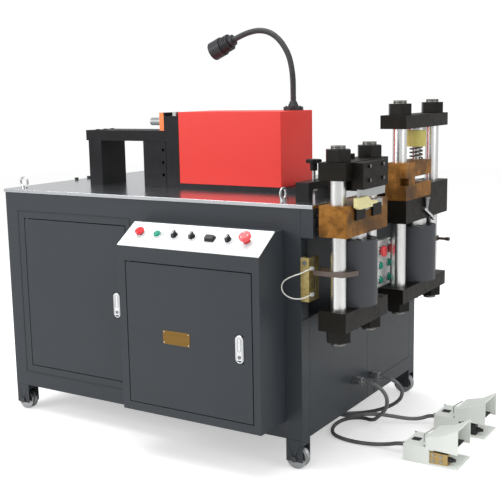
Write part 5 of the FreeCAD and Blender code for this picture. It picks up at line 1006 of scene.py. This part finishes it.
# %% Louvres and panel screws out of the camera's sight
LOUVRE_ROWS, LOUVRE_FOOT, LOUVRE_PITCH = 8, 220, 27
SCREW_INSET = 24
LOUVRE = lofted("louvre", [
    oblong(150, 15, 0, 6), oblong(146, 11, 2.6, 5, -1.4), oblong(140, 5, 4.2, 2.4, -3.6),
    oblong(136, 1.2, 4.2, 0.5, -5.6)])
SLIT = slab_form("louvre_slit", 138, 2.6, 2.4, 1.2)
COVER_SCREW = socket_screw("cover_screw", 4.2, 2.6)


def louvres(name, places, way):
    """Pressed hoods, each over a near-black slit of painted shade at its lower lip."""
    set_out(name, LOUVRE, places, way, cabinet_coat)
    set_out(name + "_slits", SLIT, [place - Vector((0, 0, 7.6)) for place in places], way, dark_recess)


rows = [LOUVRE_FOOT + LOUVRE_PITCH * index for index in range(LOUVRE_ROWS)]
louvres("back_louvres", [Vector((x, CABINET.high[1], z)) for x in (-620, -430) for z in rows], BACK)
louvres("left_louvres", [Vector((CABINET.low[0], y, z)) for y in (-140, 80, 300) for z in rows], LEFT)
across = [CABINET.low[0] + SCREW_INSET + (CABINET.size[0] - 2 * SCREW_INSET) * share / 6
          for share in range(7)]
up = [CABINET.low[2] + SCREW_INSET + (CABINET.size[2] - 2 * SCREW_INSET) * share / 4 for share in range(5)]
set_out("back_screws", COVER_SCREW, [(x, CABINET.high[1], z) for x in across for z in (up[0], up[-1])]
        + [(x, CABINET.high[1], z) for x in (across[0], across[-1]) for z in up[1:-1]], BACK, bolt_zinc,
        spread=1.0)
set_out("left_screws", COVER_SCREW, [(CABINET.low[0], y, z) for y in (-378, 75, 530)
                                     for z in (up[0], up[-1])], LEFT, bolt_zinc, spread=1.0)
print("louvres", 5 * len(rows), "screw rows at", [round(z) for z in up])

# %% [markdown]
# The cabinet rolls on plain iron wheels with fixed axles. The solid wheel has its tread, and a turned hub
# on either side shows the bush that it runs on. A turned form needs only half a section.

# %% Wheels
HUB = turned("wheel_hub", [(0, 0), (15, 0), (15, 0.8), (12.5, 1.4), (8, 1.4), (8, 2.6), (6.8, 3.2),
                           (0, 3.2)])
for corner in CORNERS:
    wheel = spots("wheel_" + corner)[0]
    for side, way, end in (("near", FRONT, wheel.low[1]), ("far", BACK, wheel.high[1])):
        set_out(f"hub_{corner}_{side}", HUB, [(wheel.middle[0], end, wheel.middle[2])], way, wheel_core,
                "wheel_" + corner)
    print("wheel", corner, "is", round(wheel.size[2]), "mm high")

# %% [markdown]
# ## The sloped panel
# The panel has its controls in polished bezels. Selector levers carry a white line, the stop knob three
# white marks round its crown, and the round buttons a raised ring. All of these face the panel's slope,
# so each finds its place from its button's furthest face along that slope.

# %% Control panel
SLOPE = (0, -0.5508, 0.8346)
dress("control_panel", [(panel_coat, lambda s: s.size[0] > 200), (black_plastic, lambda s: 30.5 < s.size[0]
                        and s.low[0] > 130 and s.high[0] < 200), (chrome_cast, ANY)], 0.6)
for name, plastic in (("stop_button", red_plastic), ("start_button", green_plastic),
                      ("twin_button", black_plastic), ("emergency_stop", knob_red),
                      ("selector_left", black_plastic), ("selector_middle", black_plastic),
                      ("selector_right", black_plastic)):
    dress(name, [(plastic, ANY)], 0.8)
INDEX = slab_form("selector_index", 1.8, 15, 0.4, 0.8, 0.1)
for name in ("selector_left", "selector_middle", "selector_right"):
    set_out(name + "_index", INDEX, [crown(name, SLOPE)], SLOPE, white_mark, name)
STOP_MARK = slab_form("stop_mark", 2.0, 7.0, 0.3, 0.9, 0.1)
STOP_MARK_RING = 12.5
ring_of("stop_marks", STOP_MARK, crown("emergency_stop", SLOPE), SLOPE, STOP_MARK_RING, 3, white_mark,
        "emergency_stop")
RIDGE = turned("button_ridge", [(7.4, 0), (7.9, 0.6), (9.0, 0.6), (9.4, 0)])
for name, plastic in (("stop_button", red_plastic), ("start_button", green_plastic)):
    set_out(name + "_ridge", RIDGE, [crown(name, SLOPE)], SLOPE, plastic, name)
print("stop knob's crown", [round(v) for v in crown("emergency_stop", SLOPE)])

# %% [markdown]
# Behind the box's door, contactors and a transformer sit on a plate. They are seen only when the door
# stands open, so plain blocks would nearly do. What the eye expects is small: dark shrouds, terminal
# screws in threes and a window, set out on each block's face.

# %% Switchgear behind the door
SHROUD_INSET, SHROUD_DEPTH, TERMINAL_STEP = 12, 1.2, 12
dress("control_gear", [(bolt_zinc, lambda s: s.size[0] > 200), (grey_plastic, ANY)], 1.0)
TERMINAL = socket_screw("terminal_screw", 4.0, 1.4)
WINDOW = slab_form("gear_window", 20, 14, 0.6, 1.5)
SHROUD = slab_form("gear_shroud", 36, 12, SHROUD_DEPTH, 1.5)
blocks = [spot for spot in spots("control_gear") if spot.size[0] < 200]
faces = [(block.middle[0], block.low[1], block.middle[2]) for block in blocks]
heights = [(block.low[2] + SHROUD_INSET, block.high[2] - SHROUD_INSET) for block in blocks]
set_out("gear_shrouds", SHROUD, [(x, y, z) for (x, y, _), pair in zip(faces, heights) for z in pair], FRONT,
        black_plastic)
set_out("gear_terminals", TERMINAL, [
    (x + step, y - SHROUD_DEPTH, z) for (x, y, _), pair in zip(faces, heights)
    for step in (-TERMINAL_STEP, 0, TERMINAL_STEP) for z in pair], FRONT, bolt_zinc, spread=1.0)
# The windows are near-black slabs: painted shade for the dark behind them.
set_out("gear_windows", WINDOW, faces, FRONT, dark_recess)
print("blocks on the gear plate", len(blocks))

# %% [markdown]
# The power pack stands behind the left door: an oil tank with a motor on its lid. The motor's fins could
# be an array along a circle, and the ring tree is just that. Slots, bolts, a filler cap and a sight glass
# make the plain solids readable as what they are.

# %% The power pack's motor and tank
FIN_COUNT, SLOT_COUNT, SLOT_RING = 36, 20, 48
BOX_HEIGHT, BOX_DEPTH, BOX_SUNK = 130, 40, 3
parts = spots("power_pack")
motor = next(spot for spot in parts if spot.size[2] > 279.5 or (spot.low[2] > 380 and spot.size[2] > 200))
middle, top = motor.middle, motor.high[2]
FIN = slab_form("motor_fin", 12, 2.4, 200, 0.8)
ring_of("motor_fins", FIN, (middle[0], middle[1], motor.low[2] + 24), UP, motor.size[0] / 2 + 4, FIN_COUNT,
        tank_coat)
# The cowl's slots are near-black slabs: painted shade for their openings.
COWL_SLOT = slab_form("cowl_slot", 34, 4.2, 0.6, 2)
ring_of("cowl_slots", COWL_SLOT, (middle[0], middle[1], top), UP, SLOT_RING, SLOT_COUNT, dark_recess)
set_out("terminal_box", slab_form("terminal_box_form", 96, 74, BOX_DEPTH, 6, 2), [
    (middle[0], motor.low[1] + BOX_SUNK, motor.low[2] + BOX_HEIGHT)], FRONT, tank_coat)
set_out("terminal_box_screws", socket_screw("box_screw", 4, 3), [
    (middle[0] + x, motor.low[1] + BOX_SUNK - BOX_DEPTH, motor.low[2] + BOX_HEIGHT + z)
    for x in (-40, 40) for z in (-29, 29)],
    FRONT, bolt_zinc, spread=1.0)
lid = next(spot for spot in parts if spot.size[2] < 12)
set_out("lid_bolts", hex_bolt("lid_bolt", 6, 6), [
    (lid.low[0] + 16 + (lid.size[0] - 32) * share / 4, y, lid.high[2]) for share in range(5)
    for y in (lid.low[1] + 14, lid.high[1] - 14)], UP, bolt_zinc, spread=1.0)
set_out("filler_cap", turned("filler_cap_form", [(0, 0), (24, 0), (24, 6), (20, 8), (20, 26, 12),
                                                 (17, 32), (0, 32)]), [
    (lid.high[0] - 60, lid.high[1] - 70, lid.high[2])], UP, black_plastic)
tank = next(spot for spot in parts if spot.size[2] > 250 and spot.high[2] < 390)
set_out("sight_frame", frame_form("sight_frame_form", 30, 130, 5, 8, 7), [
    (tank.high[0] - 60, tank.low[1], tank.middle[2])], FRONT, bolt_zinc)
print("motor", [round(v) for v in motor.size], "tank", [round(v) for v in tank.size])

# %% [markdown]
# ## The presses
# Shear and punch are built alike: a fixed block on the beam, and a frame of two plates and two ground
# columns that the cylinder pulls down. Plates are blackened, the blocks are browned, columns are hard
# chrome with threaded ends. Wider edges go on the thick plates, because a forged corner is blunter than
# that of a ground blade.

# %% Press blocks, plates and columns
dress("shear_block", [(pad_cream, lambda s: s.low[0] > 600),
                      (blade_steel, lambda s: s.size[0] < 13 and s.size[1] > 100),
                      (plate_black, lambda s: s.size[0] < 10), (block_brown, ANY)], 1.2)
dress("shear_plates", [(thread_black, lambda s: s.size[2] < 42), (plate_black, ANY)], 1.4)
dress("shear_columns", [(strap_metal, lambda s: s.size[2] < 40), (chrome_rod, ANY)], 0.8,
      zones=[(thread_steel, lambda f: f.high[2] > 1040 or f.low[2] < 470)])
dress("shear_cylinder", [(cylinder_coat, ANY)], 1.5)
dress("shear_blade", [(blade_steel, lambda s: s.size[0] < 9 and s.size[1] > 100),
                      (thread_black, lambda s: s.size[1] < 16), (plate_black, ANY)], 1.0)
dress("press_pistons", [(chrome_rod, ANY)], 0.6)
dress("punch_block", [(chrome_cast, lambda s: s.low[0] > 589), (blade_steel, lambda s: s.size[2] < 30),
                      (block_brown, lambda s: s.low[2] > 850), (plate_black, ANY)], 1.2)
dress("punch_plates", [(thread_black, lambda s: s.size[2] < 42), (plate_black, ANY)], 1.4)
dress("punch_columns", [(strap_metal, lambda s: s.size[2] < 40), (chrome_rod, ANY)], 0.8,
      zones=[(thread_steel, lambda f: f.high[2] > 1170 or f.low[2] < 470)])
dress("punch_cylinder", [(cylinder_coat, ANY)], 1.5)
dress("punch_tool", [(tool_steel, ANY)], 0.8)
dress("stripper_ring", [(urethane, ANY)], 1.5)
print("columns", [round(spot.size[2]) for spot in spots("shear_columns") + spots("punch_columns")])

# %% [markdown]
# Screws say how a machine is put together. Cap screws close each cylinder's gland, others hold the blade,
# and ring nuts step down the cable glands. Their places are read from the solids, so they stay right if a
# solid grows.

# %% Screws, glands and rings of the presses
CABINET_FACE = 435
CAP = socket_screw("plate_cap_screw", 7, 7)
screws = [s for s in spots("shear_blade") if s.size[1] < 16 and s.size[0] < 6]
set_out("holder_sockets", socket_screw("holder_socket", 5.2, 1.4), [
    (s.high[0], s.middle[1], s.middle[2]) for s in screws], RIGHT, gland_metal, "shear_frame", 1.0)
for node, body in (("shear_cylinder", "shear_frame"), ("punch_cylinder", "punch_frame")):
    barrel = spots(node)[0]
    set_out(node + "_port", hex_bolt(node + "_port_form", 10, 16), [
        (barrel.low[0] + 6, barrel.middle[1], barrel.low[2] + 40)], LEFT, gland_metal, body)
    ring_of(node + "_gland", CAP, (barrel.middle[0], barrel.middle[1], barrel.high[2] - 4), UP, 52, 8,
            thread_black, body)
fitting = next(s for s in spots("punch_block") if s.low[0] > 589)
NOSE = turned("valve_nose", [(0, 0), (5, 0), (9, 22), (9, 34), (13, 35), (13, 41), (0, 41)])
set_out("elbow_cap", NOSE, [(fitting.middle[0] + 2, fitting.low[1] + 26, fitting.high[2] - 36)], UP,
        gland_metal)
RING = turned("gland_ring", [(9.5, 0), (13.2, 0.5), (13.8, 1.6, 6), (13.8, 4.4, 6), (13.0, 5.4), (9.5, 6)])
glands = [spot for spot in spots("fasteners") if spot.low[0] > 430 and 160 < spot.low[2] < 200]
set_out("gland_rings", RING, [
    (CABINET_FACE + reach, spot.middle[1], spot.middle[2]) for spot in glands for reach in (14, 24, 33)],
    RIGHT, gland_metal, spread=1.0)
print("holder screws", len(screws), "glands", len(glands))

# %% [markdown]
# ## The bender
# A ram under the red cover pushes the copper against an anvil. The parts are thick blackened plate with
# bright jaws. The gauge's knob is knurled: a knurl could be bump, but its ribs break the outline, so they
# are laid round it one by one.

# %% Bender
dress("bending_frame", [(copper, lambda s: 15 < s.size[0] < 25), (gland_metal, lambda s: s.low[2] > 1110
                        and s.size[2] < 40), (jaw_steel, lambda s: s.low[0] > -230 and s.size[0] > 200
                        and s.high[2] > 1000), (bender_black, ANY)], 1.2)
dress("bending_ram", [(jaw_steel, lambda s: s.size[0] > 200), (bender_black, ANY)], 1.2)
dress("bending_cover", [(cover_coat, ANY)], 1.6)
knob = next(s for s in spots("bending_frame") if s.low[0] < -350 and s.size[2] < 30)
RIB = slab_form("knurl_rib", 1.0, 1.6, knob.size[0] * 0.6, 0.3, 0.2)
ring_of("gauge_knurl", RIB, (knob.low[0] + knob.size[0] * 0.2, knob.middle[1], knob.middle[2]), RIGHT,
        knob.size[2] / 2, 30, gland_metal)
beam = next(s for s in spots("bending_frame") if s.size[0] > 350 and s.low[2] > 1050)
BEAM_SCREW = socket_screw("beam_screw", 8, 3)
set_out("beam_screws", BEAM_SCREW, [(beam.low[0] + 38, beam.low[1] + beam.size[1] * share, beam.high[2])
                                    for share in (0.2, 0.5, 0.8)], UP, thread_black, spread=1.0)
cover = spots("bending_cover")[0]
set_out("cover_screws", socket_screw("cover_cap_screw", 5, 3), [
    (cover.low[0] + cover.size[0] * share, cover.high[1], cover.low[2] + 14)
    for share in (0.08, 0.36, 0.64, 0.92)], BACK, thread_black, spread=1.0)
print("cover", [round(v) for v in cover.size])

# %% [markdown]
# ## Hold-down, button station and sensor bracket
# A star knob turns the hold-down's screw, two rows of buttons stand between the presses, and a yellow
# bracket carries two proximity switches. The knob's grips are seven small slabs round its rim, because
# cutting hollows into a round solid takes far more faces.

# %% Hold-down, station and sensor bracket
KNOB_HEIGHT, STATION_INSET = 40, 9
dress("hold_down_bridge", [(bracket_black, ANY)], 1.0)
screw = spots("hold_down_screw")[0]
knob_low = screw.high[2] - KNOB_HEIGHT
dress("hold_down_screw", [(tool_steel, ANY)], 0.6, zones=[(bracket_black, lambda f: f.low[2] > knob_low)])
dress("hold_down_foot", [(tool_steel, ANY)], 0.6)
dress("station_box", [(station_coat, lambda s: s.size[0] > 20), (chrome_cast, ANY)], 1.2)
dress("sensor_bracket", [(grey_plastic, lambda s: s.low[0] > 463), (yellow_zinc, ANY)], 0.5)
station = spots("station_box")[0]
set_out("station_screws", COVER_SCREW, [
    (station.high[0], station.middle[1] + side * (station.size[1] / 2 - STATION_INSET),
     station.middle[2] + end * (station.size[2] / 2 - STATION_INSET)) for side in (-1, 1) for end in (-1, 1)],
    RIGHT, bolt_zinc, spread=1.0)
bracket = spots("sensor_bracket")[0]
set_out("bracket_screws", hex_bolt("bracket_screw", 5.5, 5), [
    (bracket.middle[0], bracket.low[1], bracket.high[2] - 16)], FRONT, gland_metal)
STAR_GRIP = slab_form("star_grip", 7, 11, 10, 3, 1)
ring_of("star_grips", STAR_GRIP, (screw.middle[0], screw.middle[1], screw.high[2] - 11), UP,
        screw.size[0] / 2, 7, bracket_black, "hold_down_screw")
for side in ("front", "rear"):
    dress(f"station_{side}_red", [(knob_red, ANY)], 1.2)
    dress(f"station_{side}_upper_green", [(green_plastic, ANY)], 0.8)
    dress(f"station_{side}_lower_green", [(green_plastic, ANY)], 0.8)
print("station", [round(v) for v in station.size], "knob starts at", round(knob_low))

# %% [markdown]
# ## The pedals
# Each pedal is a cast box with a folded hood over a ribbed treadle, and a small switch beside it. The
# ribs, screws and switch screws are set out from the boxes of the solids. A wire bail stands on each
# case: it is a curve with a thin bevel, the natural way to draw bent wire.

# %% Pedals
CASE_TOP, PLATE_TOP = 60, 6
RIB_COUNT, TREAD_PITCH, TOE_PITCH = 9, 6, 8.5
dress("pedal_housings", [(brass_head, lambda s: s.size[2] < 40 and s.high[1] < -110),
                         (black_plastic, lambda s: s.size[2] < 40), (pedal_coat, ANY)], 1.0)
for side in ("front", "rear"):
    dress(side + "_treadle", [(tread_black, ANY)], 0.8)
    tread = spots(side + "_treadle")[0]
    set_out(side + "_ribs", slab_form(side + "_rib", 2.2, tread.size[1] - 8, 1.2, 0.6), [
        (tread.low[0] + 12 + TREAD_PITCH * index, tread.middle[1], tread.high[2])
        for index in range(RIB_COUNT)], UP,
        tread_black, side + "_treadle")
cases = [s for s in spots("pedal_housings") if s.size[0] > 150 and s.low[2] < 1]
switches = [s for s in spots("pedal_housings") if s.size[2] < 40]
TOE_RIB = slab_form("toe_rib", 3.4, 112, 1.6, 1.6, 0.8)
set_out("toe_ribs", TOE_RIB, [(case.high[0] - 7 - TOE_PITCH * index, case.middle[1], PLATE_TOP)
                              for case in cases for index in range(RIB_COUNT)], UP, pedal_coat)
set_out("case_screws", socket_screw("case_screw", 4, 2.4), [
    (case.low[0] + 9 + x, case.low[1] + 10 + y, CASE_TOP)
    for case in cases for x in (0, 74) for y in (0, 108)],
    UP, bolt_zinc, spread=1.0)
CASE_CAP = turned("case_badge", [(0, 0), (15, 0, 4), (15, 0.6, 4), (13.5, 1.0, 4), (0, 1.0)])
set_out("case_badges", CASE_CAP, [(case.low[0] + 36, case.low[1] + 60, CASE_TOP) for case in cases], UP,
        tread_black)
set_out("switch_screws", socket_screw("switch_screw", 5.4, 3.4), [
    (s.low[0] + s.size[0] * share, s.low[1], s.middle[2] + drop) for s in switches
    for share, drop in ((0.2, 9), (0.2, -9), (0.62, 9), (0.62, -9))], FRONT, bolt_zinc, spread=1.0)
PLUNGER = turned("switch_plunger", [(0, 0), (9, 0), (9, 14), (6, 15), (6, 24), (0, 25)])
set_out("switch_plungers", PLUNGER, [(s.high[0] - 1, s.middle[1], s.middle[2]) for s in switches], RIGHT,
        black_plastic)
WIRE_RADIUS = 1.7
for side, case in zip(("front", "rear"), cases):
    x, y, z = case.low[0] + 66, case.middle[1] - 14, CASE_TOP - 2
    bail = smooth_curve(side + "_bail", [Vector(p) - SHIFT for p in (
        (x, y, z), (x, y, z + 14), (x, y, z + 28), (x + 14, y, z + 38), (x + 34, y, z + 54))], WIRE_RADIUS)
    bail.data.materials.append(bolt_zinc.material)
    claim(bail, "cabinet", bolt_zinc.slot)
print("pedal cases", len(cases), "switches", len(switches))

# %% [markdown]
# ## The stripper spring
# The spring sits between the punch's plate and the urethane ring, and shortens as the punch comes down.
# A coil can't be split between two bodies, so it is dressed as one piece with a mesh of its own. It is
# 47 mm long free, and the punch travels 28 mm.

# %% The spring between plate and ring
spring = dress("stripper_spring", [(spring_wire, ANY)], 0.0)
spring_low, spring_high = (Vector(corner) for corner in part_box("stripper_spring"))
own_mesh(spring)
print("spring", [round(v, 3) for v in spring_high - spring_low])

# %% [markdown]
# ## The work lamp
# The goose neck is a coil of flat wire that holds where it is bent. One bent tube would look like pipe.
# A ring at every turn of the coil, laid along the neck's own curve, gives the fine steps that catch the
# light one after another.

# %% Lamp and its coiled neck
NECK_FOOT = (-262, 430, 1200)
NECK_ROUTE = [(0, 0), (0, 92), (-15, 163), (-50, 216), (-92, 247), (-138, 257), (-184, 251), (-222, 239),
              (-250, 227)]
NECK_RADIUS, NECK_PITCH = 9.6, 4.6
dress("work_lamp", [(lamp_coat, ANY)], 0.8)
neck = smooth_curve("neck_path", [(NECK_FOOT[0] + x, NECK_FOOT[1], NECK_FOOT[2] + z)
                                  for x, z in NECK_ROUTE], 0.0)
TURN = turned("neck_turn", [(NECK_RADIUS - 0.6, -1.7), (NECK_RADIUS + 0.7, -0.9), (NECK_RADIUS + 1.0, 0),
                            (NECK_RADIUS + 0.7, 0.9), (NECK_RADIUS - 0.6, 1.7)], steps=24)
beaded("neck_turns", TURN, neck, NECK_PITCH, neck_coat)
bpy.data.objects.remove(neck)
foot = spots("work_lamp")[0]
ring_of("lamp_foot_screws", socket_screw("foot_screw", 4, 3), (foot.middle[0], foot.middle[1],
        foot.low[2] + 13), UP, 29, 3, thread_black)

# %% [markdown]
# ## Studio
# The machine stands on a plain pale floor in a white world. A floor that is only lit turns grey at its
# far end, so it glows a little, for the camera alone, and its edge melts into the world. The world is
# dimmer to the machine than to the camera, because its own light would wash out the dark metal.

# %% Floor and world
FLOOR_GLOW, WORLD_LIGHT, WORLD_GLOW = 0.45, 0.64, 0.4
FLOOR_CORNERS = [(-9, -7, 0), (9, -7, 0), (9, 11, 0), (-9, 11, 0)]
floor_mesh = bpy.data.meshes.new("floor")
floor_mesh.from_pydata(FLOOR_CORNERS, [], [(0, 1, 2, 3)])
floor = link("floor", floor_mesh)
floor_paint = Finish("floor_paint", "", (0.81, 0.81, 0.80), 0.6, Emission_Color=(1, 1, 1, 1))
floor_paint.drive("Emission Strength",
                  FLOOR_GLOW * floor_paint.node("ShaderNodeLightPath", out="Is Camera Ray"))
floor_paint.drive("Base Color", floor_paint.shades(
    floor_paint.noise(0.8, 2.0), (0.80, 0.80, 0.79), (0.83, 0.83, 0.82)))
floor.data.materials.append(floor_paint.material)

world = bpy.data.worlds.new("studio")
world.use_nodes = True
sky = Nodes(world.node_tree)
backdrop = world.node_tree.nodes["Background"]
backdrop.inputs["Color"].default_value = (0.98, 0.99, 0.99, 1.0)
sky.feed(backdrop.inputs["Strength"],
         WORLD_LIGHT + WORLD_GLOW * sky.node("ShaderNodeLightPath", out="Is Camera Ray"))
bpy.context.scene.world = world
bpy.context.scene.view_settings.view_transform = "Standard"
print("floor", [round(v) for v in floor.dimensions])

# %% [markdown]
# Three soft lamps do the rest: a broad one overhead, one from the left front for the doors, and one from
# the right for the presses. Point lamps would draw hard shadows, and area lamps show in the columns and
# the table as long soft highlights.

# %% Lamps


def soft_lamp(name, place, target, size, power):
    """A square area lamp that faces its target."""
    data = bpy.data.lights.new(name, "AREA")
    data.shape = "RECTANGLE"
    data.size, data.size_y = size
    data.energy = power
    lamp = bpy.data.objects.new(name, data)
    aim = (Vector(target) - Vector(place)).to_track_quat("-Z", "Y")
    lamp.matrix_world = Matrix.Translation(place) @ aim.to_matrix().to_4x4()
    bpy.context.scene.collection.objects.link(lamp)
    print("lamp", name, power, "W")


soft_lamp("overhead", (-0.2, -0.4, 3.6), (0, 0, 0.8), (3.4, 3.0), 100)
soft_lamp("left_front", (-2.6, -3.6, 2.2), (-0.2, 0, 0.6), (2.2, 2.2), 78)
soft_lamp("right_side", (3.6, -0.4, 2.0), (0.4, 0, 0.8), (2.0, 2.2), 26)

# %% [markdown]
# ## Sizes
# Dressing may not change the size: what is added lies on the solids and stays as thin as it really is.
